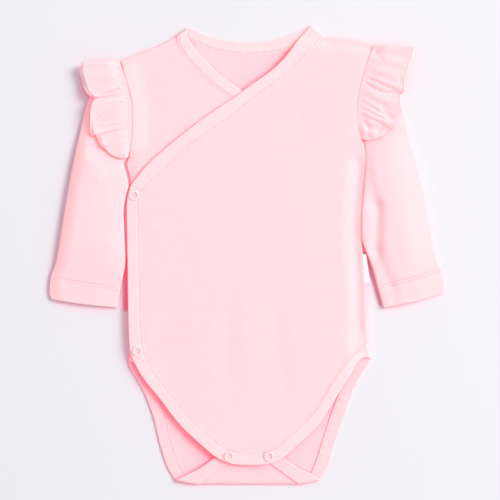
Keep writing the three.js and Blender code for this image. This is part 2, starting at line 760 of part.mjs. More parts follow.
SNAPS.forEach(({ x, y }, i) => {
  const ring = piece(`snap_ring_${i + 1}`, snapRing(), "snap", 0.35);
  const level = wrapBindingLevel(x, y);
  ring.position.set(x, y, level + BAND + GAP);
  const socket = piece(`snap_socket_${i + 1}`, snapSocket(), "snap", 0.35);
  socket.position.set(x, y, level - GAP - SOCKET_HEIGHT / 2);
});
piece("side_label", label(), "label", 0.8);

export default garment;
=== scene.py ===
import math
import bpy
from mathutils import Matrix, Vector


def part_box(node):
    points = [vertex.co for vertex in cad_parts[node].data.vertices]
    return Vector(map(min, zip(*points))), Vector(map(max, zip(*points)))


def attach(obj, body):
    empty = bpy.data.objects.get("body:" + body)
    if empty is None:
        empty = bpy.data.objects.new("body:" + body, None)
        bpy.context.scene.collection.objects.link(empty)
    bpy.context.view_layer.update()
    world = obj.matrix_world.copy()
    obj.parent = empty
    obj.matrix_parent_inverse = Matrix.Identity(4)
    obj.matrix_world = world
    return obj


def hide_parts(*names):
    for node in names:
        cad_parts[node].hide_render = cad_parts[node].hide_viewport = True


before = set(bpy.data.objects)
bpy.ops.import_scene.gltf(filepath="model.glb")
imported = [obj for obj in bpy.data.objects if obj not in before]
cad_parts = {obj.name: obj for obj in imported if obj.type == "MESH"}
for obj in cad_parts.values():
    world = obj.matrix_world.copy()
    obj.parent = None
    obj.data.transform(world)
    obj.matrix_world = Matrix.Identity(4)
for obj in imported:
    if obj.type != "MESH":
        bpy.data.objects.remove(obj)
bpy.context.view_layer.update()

from types import SimpleNamespace

import bmesh
import bpy
import numpy as np
from mathutils import Matrix, Vector

bl_info = {
    "name": "Baby wrap bodysuit",
    "version": (1, 0, 0),
    "blender": (4, 5, 0),
    "location": "View3D > Sidebar > Bodysuit",
    "description": "A baby's wrap bodysuit in pink jersey, laid flat, with ruffles, bindings and ring snaps",
    "category": "Add Mesh",
}

# The pattern is in millimetres, in the frame's axes. Each piece is scaled to metres once it is placed.
MM = 0.001

# Layers, from the frame
GAP = 0.3
BAND = 2.0
CLOTH = 1.2
SEAM_LEVEL = 1.25
UNDER_LEVEL = BAND + GAP
WRAP_LEVEL = UNDER_LEVEL + BAND + GAP
SEAM_SLOPE = 9
SIDE_SLOPE = 20
SHOULDER_SLOPE = 12
SNAP_ROOM = 0.8
SLEEVE_HEIGHT = WRAP_LEVEL + CLOTH
SLEEVE_ROLL = 1.8
SLEEVE_PUFF = 2.6  # how much more air there is in its middle length
ARMHOLE_FADE = 8  # how soon the armhole's bow dies away down the sleeve
INNER_LAG = 1.8  # how much later the short inner side is read, which starts with the underarm's notch
FOLD_Y = -208.5
FOLD_RADIUS = (BAND + GAP) / 2
TURN_END = FOLD_Y - math.pi * FOLD_RADIUS
FLAP_END = -246
CORNER_RISE = 5  # how much higher the fold lies at the crotch's rounded corners
CORNER_START = 42  # how far from the middle the corners start
CORNER_REACH = 28
KNEE_Y = 84  # where the sides turn in to the underarm
UNDERARM = 12
TUCK = 1.5  # how far a panel's raw edge reaches into its binding
SIDE_LIFT = 2.2  # how far the back's right side lifts off the surface
SIDE_LIFT_REACH = 8
SHOULDER_LIFT = {"left": 0.9, "right": 1.75}
SHOULDER_LIFT_REACH = 12
LABEL_LEVEL = 3.4

# The cuts' sizes, laid flat
BACK_CUT = (232, 457)
UNDER_CUT = (195, 320)
WRAP_CUT = (222, 380)


def table(columns, rows):
    """Rows with named columns."""
    names = columns.split()
    return [SimpleNamespace(**dict(zip(names, row))) for row in rows]


# Outlines of the panels, as they lie
LEFT_SHOULDER = [(-99.5, 184.7), (-80.5, 192)]
RIGHT_SHOULDER = [(76, 199), (94, 198), (104, 195.7)]
LEFT_SIDE = [
    (-115.5, 178), (-111.5, 163), (-107, 146.5), (-105, 132), (-105, 114.5), (-106.5, 99.5), (-108.5, 89),
    (-110.5, 84), (-108.7, 78), (-107, 71), (-106, 62.5), (-105.8, 50), (-105.8, -15), (-105.8, -82),
]
RIGHT_SIDE = [
    (115.5, 193.5), (109.5, 174), (105.5, 160), (102, 143), (101.5, 127), (102.5, 115.5), (105, 106),
    (107, 101.8), (108.3, 92), (108.6, 81), (105.4, 44), (104.6, 16), (106.1, 1.8), (108.2, -26),
    (109.2, -60),
]
UNDER_HEM = [(-108.3, -97), (-70, -112), (0, -118), (50, -96), (78, -62)]

# Bindings: a row gives the folded edge and, across from it, the seam to the panel
BINDING_COLUMNS = "edge_x edge_y seam_x seam_y"
BACK_NECK = table(BINDING_COLUMNS, [
    (-54, 208.5, -64, 201),
    (-46, 205.5, -53.5, 196.5),
    (-38, 202.5, -43, 192),
    (-26, 199, -30, 187.2),
    (-13, 196.6, -15, 184.4),
    (0, 195.5, -0.5, 183),
    (14, 196, 14.5, 183.5),
    (28, 198.6, 30, 186.3),
    (42, 203, 46, 191),
    (54, 208, 60, 196.3),
    (59, 210.5, 70.5, 200),
])
UNDER_NECK = table(BINDING_COLUMNS, [
    (-53.5, 208.5, -64.5, 201),
    (-55, 201.5, -64, 195),
    (-51.5, 194.5, -60, 186.5),
    (-46, 187, -54.5, 178.5),
    (-36, 176.5, -44, 167.5),
    (-23, 164, -31, 155),
    (-4, 150.5, -11.5, 141.2),
    (20, 133.5, 13, 124),
    (45, 116, 38, 106.5),
    (76, 95, 69, 85),
])
WRAP_NECK = table(BINDING_COLUMNS, [
    (59, 210.7, 71, 199.7),
    (49, 200, 60, 188),
    (38, 185, 47.5, 175),
    (27.5, 173.5, 36, 164.5),
    (17, 165, 24.8, 155),
    (2.5, 155, 9.7, 144.5),
    (-12, 144, -4.5, 133),
    (-35.5, 128.5, -28, 115.5),
    (-57.5, 112, -50, 100),
    (-75, 97.5, -67, 84.7),
    (-92.5, 81.5, -84.5, 68.7),
    (-106.5, 63.5, -95.5, 57),
])
WRAP_EDGE = table(BINDING_COLUMNS, [
    (-106.3, 63.88, -95.3, 57.38),
    (-109.3, 54, -97.2, 50),
    (-110.1, 45, -97.6, 43),
    (-110, 28, -97.5, 28),
    (-109.5, 4.5, -97, 4.5),
    (-109, -39.5, -95.8, -38.5),
    (-108, -77, -94.8, -74),
    (-106.5, -90, -93, -85.5),
    (-96.5, -110.5, -85.8, -103),
    (-79, -132.7, -69, -125.5),
    (-62, -154.7, -53.3, -145.5),
    (-43, -172.7, -36, -162),
    (-29.5, -184, -23.5, -172),
    (-16, -190.5, -12.5, -177),
    (3, -192.2, 3, -179),
    (21, -190.7, 19, -177.6),
    (34, -184.7, 28, -173.2),
    (45.5, -174, 37.2, -164.5),
    (63, -158, 53.8, -149.5),
    (76, -139.5, 65.2, -134),
    (86, -123, 75, -117),
    (95, -109, 84.3, -103),
    (101, -98.8, 92, -94),
    (106.5, -94.4, 100.5, -86.5),
    (113.3, -94.3, 110.4, -80.5),
])
WRAP_EDGE_LEG_ROW = 7  # from this row on, the binding runs round the leg openings
LEFT_LEG_BACK = table(BINDING_COLUMNS, [
    (-109.6, -94, -105.5, -82.5),
    (-108, -103, -97.5, -93.5),
    (-102, -113, -91, -105.5),
    (-94, -128, -83, -122),
    (-86, -149.5, -74.5, -145),
    (-80, -174.5, -68.2, -171),
    (-73.5, -194, -61.7, -189.5),
    (-66, -206.5, -55.5, -200.5),
    (-55.5, -217, -47.5, -207.8),
    (-43, -225.6, -36.5, -215.6),
    (-29.5, -235, -22.5, -225.2),
    (-15, -245.5, -8, -235.7),
])
RIGHT_LEG_BACK = table(BINDING_COLUMNS, [
    (114.4, -95.2, 109.5, -83),
    (109, -103.5, 99, -96.5),
    (104.5, -111.3, 93.5, -106.5),
    (97, -127, 86, -122.5),
    (91, -143.3, 79.3, -139.5),
    (81, -173, 69.3, -169.5),
    (74.5, -193.7, 63, -190),
    (68.5, -205, 57.8, -200.3),
    (58.5, -216.5, 50.2, -207.6),
    (46, -226, 39, -216),
    (33, -235.3, 26, -225.5),
    (19.5, -245.5, 12.5, -235.7),
])

# Sleeves. For its outer and inner side: hem is how far down the hem's stitching starts, as a share of the
# side, side_height is how high the tube already stands there, from 0 at its middle to 1 at its top, and
# side_swell is how far in from that side it still rises.
LEFT_SLEEVE = SimpleNamespace(
    armhole=[
        (-117, 177.5), (-112.3, 163), (-107.8, 146.5), (-105.7, 132), (-105.7, 114.5), (-107.2, 99.5),
        (-109.3, 90),
    ],
    outer=[
        (-117, 177.5), (-129, 168.5), (-139, 156), (-146, 140.8), (-154, 108.5), (-160, 80.5), (-166, 48),
        (-173, 4.5), (-175.6, -8), (-180, -20), (-181.1, -36), (-179.4, -40.5),
    ],
    inner=[
        (-109.3, 90), (-113.6, 84.2), (-111.9, 78), (-110.1, 71.5), (-108.5, 64), (-110.8, 54), (-113, 41),
        (-112.6, 28), (-111.7, 4.5), (-111.4, -8), (-114.2, -22), (-119.4, -48.2),
    ],
    cuff=[(-179.4, -40.5), (-154, -44.5), (-119.4, -48.2)],
    hem=(0.916, 0.937),
    side_height=(0, 0.18),
    side_swell=(12, 30),
)
RIGHT_SLEEVE = SimpleNamespace(
    armhole=[
        (117, 193), (110.3, 174.2), (106.3, 160.2), (102.7, 143.2), (102.2, 127), (103.2, 115.3),
        (105.8, 106.2),
    ],
    outer=[
        (117, 193), (127, 180), (136, 160), (141.5, 138), (149.4, 105.5), (158.2, 73), (165.6, 39.5),
        (171.6, 4.5), (175.6, -8.5), (179.6, -17), (181, -34.5),
    ],
    inner=[
        (105.8, 106.2), (107.6, 101.8), (108.1, 90), (107.9, 78), (106.5, 60), (105, 43.5), (104.3, 23.5),
        (104.9, 14), (108.2, 5), (111.5, -3), (115.8, -15.3), (119.3, -28), (125.1, -48.5),
    ],
    cuff=[(181, -34.5), (152, -42.8), (125.1, -48.5)],
    hem=(0.917, 0.934),
    side_height=(0, 0.45),
    side_swell=(30, 14),
)

# Ruffles: a row for each rise and dip of the free edge, with its place along the armhole seam, the height
# that the flounce swells to between seam and edge, and how far its last strip then curls down
RUFFLE_COLUMNS = "along x y z swell droop"
LEFT_RUFFLE = table(RUFFLE_COLUMNS, [
    (0, -149.5, 175.3, 9.4, 0.1, 0),
    (0.07, -152.8, 169.5, 9, 0.4, 2.8),
    (0.16, -150.5, 159, 8.4, 0.6, 3.2),
    (0.24, -146.8, 149.6, 9, 0.6, 1.5),
    (0.3, -141.2, 144.2, 10.4, 0.4, 2.4),
    (0.34, -138.6, 143.4, 7.2, 0.1, 0),
    (0.38, -140.2, 139.6, 9.8, 0.4, 0),
    (0.46, -142.2, 131, 9.2, 0.5, 0),
    (0.53, -142.6, 121, 8.8, 0.3, 0),
    (0.59, -143, 115, 9.8, 0.4, 1.8),
    (0.64, -141.2, 109.2, 11.2, 0.5, 2.8),
    (0.68, -137.5, 109.8, 8.2, 0.2, 0),
    (0.73, -135.8, 106, 9.4, 0.4, 1.5),
    (0.79, -132.8, 99.6, 10.2, 0.4, 2.2),
    (0.84, -129.6, 98, 8, 0.2, 0),
    (0.92, -122.5, 91.2, 7.3, 0.3, 0),
    (1, -113, 88.3, 6, 0.1, 0),
])
RIGHT_RUFFLE = table(RUFFLE_COLUMNS, [
    (0, 152, 190, 7.8, 0.1, 0),
    (0.1, 149.4, 179, 7.2, 0.5, 0),
    (0.19, 146, 168.4, 7.8, 0.7, 0),
    (0.27, 143.4, 157.4, 9.2, 0.6, 0),
    (0.33, 143, 149.6, 9.4, 0.4, 0),
    (0.38, 139.8, 146.2, 7.6, 0.1, 0),
    (0.46, 139.8, 137, 8.4, 0.5, 0),
    (0.54, 136.9, 128.8, 7.8, 0.4, 0),
    (0.6, 132.8, 123.2, 7.6, 0.1, 0),
    (0.66, 136.2, 120, 9.6, 0.4, 0),
    (0.71, 133.6, 116.4, 9.8, 0.4, 0),
    (0.77, 128.8, 113.4, 7.8, 0.2, 0),
    (0.86, 121.8, 108, 8.6, 0.4, 0),
    (1, 110.4, 104.6, 7, 0.1, 0),
])

# Gaps between a sleeve and the body, where painted deep-pink shade stands in for the pink light the cloth on
# both sides bounces onto the floor
FLOOR_GAPS = table("from_x from_y to_x to_y width tint", [
    (-110.8, -4, -111.3, -49, 3.9, 0.95),
    (108.5, 6, 122.2, -45, 2.2, 0.6),
])

# Creases: a run across the cloth, how wide it is on one side and, by its lean, on the other, and its
# height, which is negative for a trough
CREASE_COLUMNS = "from_x from_y to_x to_y width lean height"
WRAP_CREASES = table(CREASE_COLUMNS, [
    (-73.6, -41.4, -73.6, -105.8, 9, 1, -0.3),
    (-18.4, -59.8, -18.4, -107.6, 7, 1, -0.42),
    (23, -50.6, 34, -128.8, 9, 1, -0.36),
    (0, -41.4, 0, -96.6, 9, 1, 0.36),
    (41.4, -59.8, 48.8, -115, 8, 1, 0.24),
    (76.4, 50.6, 79.1, -41.4, 12, 1, -0.36),
    (90.2, -41.4, 94.8, -78, 8, 1, -0.24),
    (90.2, 105.8, 96.6, 124.2, 6, 1, 0.3),
    (-89.2, 50.6, -80, 46, 4, 1, -0.3),
])
LEFT_SLEEVE_CREASES = table(CREASE_COLUMNS, [
    (-136, 96, -117, 62, 8, 1, -0.63),
    (-145, 92, -138, 70, 8, 1, 0.49),
    (-132, 60, -138, -14, 10, 1, -0.42),
    (-163, 70, -168, -10, 3, 1, -0.24),
    (-158, 60, -163, 0, 3, 1, -0.21),
    (-152, 30, -158, -20, 4, 1, -0.21),
    (-172, -26, -168, -34, 5, 1, 0.42),
])
RIGHT_SLEEVE_CREASES = table(CREASE_COLUMNS, [
    (111.3, 73.6, 119, 44.2, 5, 1.6, -1.2),
    (119, 44.2, 118.5, 4.6, 5.5, 2, -2.8),
    (118.5, 4.6, 131, -28.5, 5, 1.6, -1.4),
    (134.3, -24, 135, -44, 4, 1, -0.59),
    (113, 36, 112, 12, 5, 1, 0.39),
    (138, 60, 146, -10, 14, 1, 0.26),
])
LEFT_RUFFLE_CREASES = table(CREASE_COLUMNS, [
    (-117.8, 152.3, -134.3, 146.3, 1.3, 0.5, -1.1),
    (-112.2, 156.4, -132.5, 154.6, 1.1, 1, -0.36),
    (-109.5, 142.1, -120.5, 144.4, 1.1, 0.6, -0.42),
    (-115.9, 139.8, -138.9, 125.1, 1.3, 0.6, -0.66),
    (-107.6, 133.9, -137.1, 117.8, 1.5, 1, -0.3),
    (-109.9, 120.1, -124.2, 118.7, 1.1, 0.6, -0.55),
    (-124.2, 118.7, -135.2, 115.5, 1.1, 0.6, -0.55),
    (-106.7, 115.5, -115.9, 114.1, 1, 0.6, -0.3),
    (-107.6, 107.6, -130.6, 101.2, 1.3, 0.8, -0.4),
    (-110.4, 167.4, -120.5, 170.2, 1, 1, -0.25),
    (-109.5, 161, -119.6, 163.8, 1, 1, -0.25),
])
RIGHT_RUFFLE_CREASES = table(CREASE_COLUMNS, [
    (105.8, 159.2, 114.1, 152.7, 1.9, 0.4, -0.6),
    (114.1, 152.7, 120.5, 149.5, 1.9, 0.4, -0.7),
    (120.5, 149.5, 140.8, 146.7, 1.7, 0.6, -0.36),
    (124.7, 133.4, 132.9, 123.3, 3, 0.8, -0.75),
    (106.7, 125.1, 110.4, 116.8, 2.8, 0.8, -0.7),
    (110.4, 116.8, 110.9, 110.4, 2.8, 0.8, -0.6),
    (115.5, 186.8, 122.8, 178.5, 3.4, 0.7, -0.6),
    (130.6, 184.5, 142.1, 183.5, 1.3, 0.6, -0.2),
    (139, 162.8, 142.6, 153.6, 2.4, 0.8, -0.5),
    (109.5, 170.2, 118.7, 172, 1.6, 0.8, -0.24),
    (103, 143.5, 115, 139.8, 2.2, 0.8, -0.3),
    (102.1, 135.2, 113.2, 131.6, 2, 0.8, -0.22),
    (104.9, 129.7, 117.8, 126, 2, 0.8, -0.22),
    (118.7, 107.6, 123.3, 116.8, 2.4, 0.8, -0.45),
])

SNAPS = [(-103.2, 54.6), (-100.2, -88), (-16.3, -184), (20.3, -184)]
LABEL = [(106.7, 0.8), (109.3, 0.6), (112.8, -25.6), (108.8, -26.2)]


class BodysuitSizes(bpy.types.PropertyGroup):
    """Sizes of the cloth and of what is sewn on it."""

    cloth: bpy.props.FloatProperty(
        name="Cloth", description="Thickness of one layer of jersey", default=0.0011, min=0.0005,
        unit="LENGTH"
    )
    stitch: bpy.props.FloatProperty(
        name="Stitch", description="Length of a stitch, with its gap", default=0.0022, min=0.001,
        unit="LENGTH"
    )
    thread: bpy.props.FloatProperty(
        name="Thread", description="Radius of the sewing thread", default=0.00026, min=0.0001, unit="LENGTH"
    )
    furrow: bpy.props.FloatProperty(
        name="Furrow", description="How deep a row of stitches sinks in", default=0.00016, min=0,
        unit="LENGTH"
    )
    pucker: bpy.props.FloatProperty(
        name="Pucker", description="Height of the ripples beside a seam", default=0.00016, min=0,
        unit="LENGTH"
    )
    rolled_hem: bpy.props.FloatProperty(
        name="Rolled hem", description="Radius of the ruffles' rolled hem", default=0.0008, min=0.0003,
        unit="LENGTH"
    )
    wale: bpy.props.FloatProperty(
        name="Wale", description="Width of one column of knitting", default=0.0009, min=0.0002, unit="LENGTH"
    )


class BodysuitColours(bpy.types.PropertyGroup):
    """Colours of the cloth, the trims and the floor, and of the shade and glow painted on them."""

    # Painted glow: light emitted where other cloth is close, standing in for light that comes through the
    # thin jersey
    painted_glow: bpy.props.FloatVectorProperty(
        name="Glow", description="Light that comes through the thin jersey in close folds", subtype="COLOR",
        default=(0.5, 0.02, 0.06)
    )
    jersey: bpy.props.FloatVectorProperty(
        name="Jersey", description="Colour of the pink jersey", subtype="COLOR", default=(0.89, 0.61, 0.625)
    )
    # Painted shade: the deep pink that the jersey's colour turns to where other cloth is close
    depth: bpy.props.FloatVectorProperty(
        name="Depth", description="Colour of the jersey in deep folds", subtype="COLOR",
        default=(0.88, 0.16, 0.29)
    )
    thread: bpy.props.FloatVectorProperty(
        name="Thread", description="Colour of the sewing thread", subtype="COLOR", default=(0.7, 0.22, 0.3)
    )
    snap: bpy.props.FloatVectorProperty(
        name="Snap", description="Colour of the ring snaps", subtype="COLOR", default=(0.86, 0.62, 0.62)
    )
    label: bpy.props.FloatVectorProperty(
        name="Label", description="Colour of the blank label", subtype="COLOR", default=(0.72, 0.71, 0.72)
    )
    floor: bpy.props.FloatVectorProperty(
        name="Floor", description="Colour of the floor", subtype="COLOR", default=(0.69, 0.68, 0.7)
    )
    floor_shade: bpy.props.FloatVectorProperty(
        name="Floor shade", description="Colour of the floor in the shade of the pink cloth",
        subtype="COLOR", default=(0.8, 0.44, 0.58)
    )
    # Painted shade: deep pink painted on the floor in the narrow gaps between sleeve and body
    floor_gap_shade: bpy.props.FloatVectorProperty(
        name="Floor gap", description="Colour of the floor in a narrow gap between pieces", subtype="COLOR",
        default=(0.85, 0.13, 0.28)
    )


def sizes():
    return bpy.context.scene.bodysuit_sizes


def colours():
    return bpy.context.scene.bodysuit_colours


# Lines and surfaces of the pattern
def smooth_step(value, low, high):
    t = np.clip((value - low) / (high - low), 0, 1)
    return t * t * (3 - 2 * t)


def mix(a, b, share):
    return a + (b - a) * share


def smooth_line(points, count=600):
    """Samples of a centripetal Catmull-Rom curve through points, at even shares of its rows."""
    points = np.asarray(points, dtype=float)
    held = np.vstack([2 * points[0] - points[1], points, 2 * points[-1] - points[-2]])
    share = np.linspace(0, len(points) - 1, count + 1)
    row = np.minimum(share.astype(int), len(points) - 2)
    t = (share - row)[:, None]
    p0, p1, p2, p3 = (held[row + k] for k in range(4))
    d0, d1, d2 = (
        np.sqrt(np.linalg.norm(b - a, axis=1))[:, None] for a, b in ((p0, p1), (p1, p2), (p2, p3))
    )
    leave = ((p1 - p0) / d0 - (p2 - p0) / (d0 + d1) + (p2 - p1) / d1) * d1
    arrive = ((p2 - p1) / d1 - (p3 - p1) / (d1 + d2) + (p3 - p2) / d2) * d1
    bend = 3 * (p2 - p1) - 2 * leave - arrive
    return p1 + leave * t + bend * t**2 + (2 * (p1 - p2) + leave + arrive) * t**3


def read_by(samples, measure):
    """The line through samples, read by shares of a measure that grows along it."""
    measure = np.maximum.accumulate(measure - measure[0])
    return lambda share: np.stack(
        [np.interp(np.asarray(share) * measure[-1], measure, column) for column in samples.T], axis=-1
    )


def by_rows(samples):
    return read_by(samples, np.arange(len(samples), dtype=float))


def lengths(samples):
    return np.concatenate([[0], np.cumsum(np.linalg.norm(np.diff(samples, axis=0), axis=1))])


def evenly(samples):
    return read_by(samples, lengths(samples))


def downwards(samples):
    return read_by(samples, -samples[:, 1])


def rightwards(samples):
    return read_by(samples, samples[:, 0])


def downwards_by(samples, knee_share):
    """A line read in even steps down to KNEE_Y and in even steps below it."""
    bend = np.array([[x_at(samples, KNEE_Y), KNEE_Y]])
    above = downwards(np.vstack([samples[samples[:, 1] > KNEE_Y], bend]))
    below = downwards(np.vstack([bend, samples[samples[:, 1] < KNEE_Y]]))

    def at(share):
        share = np.asarray(share)
        upper = above(np.clip(share / knee_share, 0, 1))
        lower = below(np.clip((share - knee_share) / (1 - knee_share), 0, 1))
        return np.where((share < knee_share)[..., None], upper, lower)

    return at


def x_at(samples, y):
    order = np.argsort(samples[:, 1])
    return np.interp(y, samples[order, 1], samples[order, 0])


def y_at(samples, x):
    order = np.argsort(samples[:, 0])
    return np.interp(x, samples[order, 0], samples[order, 1])


def bow(line, share):
    """How far a line stands off the straight one between its ends."""
    return line(share) - mix(line(0.0), line(1.0), share[:, None])


def patch(top, bottom, left, right, fade=1):
    """A four-sided piece of cloth between its top, bottom, left and right lines, which share their corners.

    The top line's bow dies away down the piece, and sooner where fade is above 1.
    """

    def at(u, v):
        down = v[:, None]
        return mix(left(v), right(v), u[:, None]) + bow(top, u) * (1 - down) ** fade + bow(bottom, u) * down

    return at


def binding_lines(rows):
    """A binding's two long sides, read evenly, and the panel's edge, tucked in between its layers."""
    edge = smooth_line([(row.edge_x, row.edge_y) for row in rows])
    seam = smooth_line([(row.seam_x, row.seam_y) for row in rows])
    inwards = (edge - seam) / np.linalg.norm(edge - seam, axis=1)[:, None]
    measure = lengths((edge + seam) / 2)
    return SimpleNamespace(
        edge=read_by(edge, measure), seam=read_by(seam, measure), panel=seam + inwards * TUCK,
        length=measure[-1], width=float(np.mean(np.linalg.norm(edge - seam, axis=1))),
    )


left_side = smooth_line(LEFT_SIDE)
right_side = smooth_line(RIGHT_SIDE)
back_neck = binding_lines(BACK_NECK)
under_neck = binding_lines(UNDER_NECK)
wrap_neck = binding_lines(WRAP_NECK)
wrap_edge = binding_lines(WRAP_EDGE)
left_leg_back = binding_lines(LEFT_LEG_BACK)
right_leg_back = binding_lines(RIGHT_LEG_BACK)
left_shoulder = smooth_line([LEFT_SIDE[0], *LEFT_SHOULDER, under_neck.panel[0]])
right_shoulder = smooth_line([wrap_neck.panel[0], *RIGHT_SHOULDER, RIGHT_SIDE[0]])


def away_from_shoulder(x, y, shoulder):
    return smooth_step(y_at(shoulder, x) - y, 0, SHOULDER_SLOPE)


def below_armhole(y):
    return 1 - smooth_step(y, KNEE_Y, KNEE_Y + UNDERARM)


def back_lift(x, y):
    """How far the back's right side and its shoulders lift off the surface, to meet the fronts half way."""
    beside = 1 - smooth_step(x_at(right_side, y) - x, 0, SIDE_LIFT_REACH)
    side = SIDE_LIFT * beside * below_armhole(y) * smooth_step(y, -85, -60)
    right_drop, left_drop = (y_at(shoulder, x) - y for shoulder in (right_shoulder, left_shoulder))
    right = SHOULDER_LIFT["right"] * (1 - smooth_step(right_drop, 0, SHOULDER_LIFT_REACH))
    left = SHOULDER_LIFT["left"] * (1 - smooth_step(left_drop, 0, SHOULDER_LIFT_REACH))
    shoulder = np.where(x > 0, right, left) * smooth_step(np.abs(x), 68, 84)
    return np.maximum(side, shoulder)


def wrap_level(x, y, seam_level):
    """The height of the wrap's underside."""
    side = smooth_step(x_at(right_side, y) - x, 0, SIDE_SLOPE)
    beside_sleeve = mix(1, side, below_armhole(y))
    shoulder = np.where(x > 0, away_from_shoulder(x, y, right_shoulder), 1)
    over_snaps = SNAP_ROOM * smooth_step(-y, 150, 172)
    sewn = seam_level + back_lift(x, y)
    return mix(sewn, WRAP_LEVEL + over_snaps, np.minimum(beside_sleeve, shoulder))


def under_level(x, y):
    """The height of the lower front's underside."""
    inside = x - x_at(left_side, y)
    beside_sleeve = mix(1, smooth_step(inside, 0, SEAM_SLOPE), below_armhole(y))
    shoulder = np.where(x < 0, away_from_shoulder(x, y, left_shoulder), 1)
    seam_level = mix(UNDER_LEVEL, SEAM_LEVEL, smooth_step(y, -77, -63))
    sewn = np.minimum(seam_level + back_lift(x, y), UNDER_LEVEL)
    settled = mix(sewn, UNDER_LEVEL, np.minimum(beside_sleeve, shoulder))
    near_sleeve = (1 - smooth_step(inside, 0, 2 * SEAM_SLOPE)) * smooth_step(y, 88, 100) * shoulder
    return settled + (WRAP_LEVEL - UNDER_LEVEL) * near_sleeve


def creased(x, y, rows):
    """How far creases lift the cloth at a place."""
    lift = np.zeros_like(x)
    for row in rows:
        run_x, run_y = row.to_x - row.from_x, row.to_y - row.from_y
        share = np.clip(((x - row.from_x) * run_x + (y - row.from_y) * run_y) / (run_x**2 + run_y**2), 0, 1)
        off_x, off_y = x - row.from_x - share * run_x, y - row.from_y - share * run_y
        off = np.hypot(off_x, off_y) + 1e-9
        side = (run_x * off_y - run_y * off_x) / (math.hypot(run_x, run_y) * off)
        width = row.width * mix(row.lean, 1, (1 + side) / 2)
        lift += row.height * np.exp(-(off / width) ** 2)
    return lift


def steps(shares, counts):
    """Even steps between chosen shares, so that a corner of the cloth falls on a step."""
    parts = [np.linspace(a, b, n, endpoint=False) for a, b, n in zip(shares, shares[1:], counts)]
    return np.concatenate([*parts, [shares[-1]]])


# Pieces
def cloth_grid(across, along, place, size):
    """A bmesh grid of cloth at the given steps, put in place, with UVs in metres along the knitting."""
    bm = bmesh.new()
    uv_layer = bm.loops.layers.uv.new("cloth")
    wide, long = len(across) - 1, len(along) - 1
    bmesh.ops.create_grid(bm, x_segments=wide, y_segments=long, size=0.5)
    corners = np.array([vert.co for vert in bm.verts])
    u = across[np.rint((corners[:, 0] + 0.5) * wide).astype(int)]
    v = along[np.rint((0.5 - corners[:, 1]) * long).astype(int)]
    for vert, point in zip(bm.verts, place(u, v) * MM):
        vert.co = point
    bm.verts.index_update()
    for face in bm.faces:
        for loop in face.loops:
            i = loop.vert.index
            loop[uv_layer].uv = (u[i] * size[0] * MM, v[i] * size[1] * MM)
    return bm


def add_piece(bm, name, nodes, finish):
    """The finished object of a bmesh, in the frame, riding with the garment."""
    mesh = bpy.data.meshes.new(name)
    bm.to_mesh(mesh)
    bm.free()
    mesh.materials.append(finish)
    mesh.shade_smooth()
    obj = bpy.data.objects.new(name, mesh)
    bpy.context.scene.collection.objects.link(obj)
    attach(obj, "root")
    if nodes:
        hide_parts(*nodes)
    return obj


def give_wall(obj, thickness):
    """Gives a sheet its thickness, half to each side, and rounds its cut edges."""
    wall = obj.modifiers.new("Wall", "SOLIDIFY")
    wall.thickness = thickness
    wall.offset = 0
    wall.use_quality_normals = True
    edge = obj.modifiers.new("Edge", "BEVEL")
    edge.limit_method = "ANGLE"
    edge.angle_limit = math.radians(60)
    edge.width = thickness * 0.3
    edge.segments = 2
    edge.profile = 0.5


def flat_tube(around, width, roll):
    """Across, from 0 to 1, and up, from -1 to 1, on a tube pressed flat, whose two sides stay round."""
    progress = 1 - np.abs(2 * around - 1)
    across = 0.5 - 0.5 * np.cos(math.pi * progress)
    reach = np.minimum(across, 1 - across) * width
    rise = np.sqrt(1 - (1 - np.clip(reach / roll, 0, 1)) ** 2)
    return across, np.where(around <= 0.5, rise, -rise)


def tube_place(across):
    """Where a flat tube's top is at a share across: the inverse of flat_tube."""
    return np.arccos(1 - 2 * np.clip(across, 0, 1)) / math.pi / 2


def close_tube(bm, capped):
    """Merges the two sides of a grid that has been rolled to a tube, and closes its ends."""
    bmesh.ops.remove_doubles(bm, verts=bm.verts, dist=1e-6)
    if capped:
        rims = [edge for edge in bm.edges if edge.is_boundary]
        bmesh.ops.holes_fill(bm, edges=rims, sides=0)
    bmesh.ops.recalc_face_normals(bm, faces=bm.faces)


def sleeve_place(rows, creases):
    """A function that puts a place round and along a sleeve on its cloth's middle surface."""
    inner = evenly(smooth_line(rows.inner))
    cut = patch(
        evenly(smooth_line(rows.armhole)), evenly(smooth_line(rows.cuff)),
        evenly(smooth_line(rows.outer)), lambda share: inner(share**INNER_LAG), ARMHOLE_FADE,
    )
    skin = CLOTH / 2
    half = SLEEVE_HEIGHT / 2

    def place(around, along):
        width = np.linalg.norm(cut(np.zeros_like(along), along) - cut(np.ones_like(along), along), axis=1)
        across, rise = flat_tube(around, width - 2 * skin, SLEEVE_ROLL)
        at_side = np.where(across < 0.5, rows.side_height[0], rows.side_height[1])
        swell = np.where(across < 0.5, rows.side_swell[0], rows.side_swell[1])
        inwards = np.minimum(across, 1 - across) * width / swell
        rise = np.where(rise > 0, rise * mix(at_side, 1, np.sin(math.pi / 2 * np.clip(inwards, 0, 1))), rise)
        share = (skin + across * (width - 2 * skin)) / width
        flat = cut(share, along)
        x, y = flat[:, 0], flat[:, 1]
        hem_start = mix(rows.hem[0], rows.hem[1], share)
        pressed = 1 - 0.32 * smooth_step(along, hem_start - 0.1, 1) - 0.2 * (1 - smooth_step(along, 0, 0.14))
        doubled = 0.35 * smooth_step(along, hem_start - 0.004, hem_start + 0.006)
        puff = SLEEVE_PUFF / 2 * smooth_step(along, 0.24, 0.48) * (1 - smooth_step(along, 0.75, 0.95))
        height = half * pressed + doubled + puff - skin
        lift = np.maximum(rise, 0) * creased(x, y, creases)
        return np.stack([x, y, skin + height * (1 + rise) + lift], axis=-1)

    return place


def ruffle_edge(rows):
    return by_rows(smooth_line([(row.x, row.y, row.z) for row in rows], count=1600))


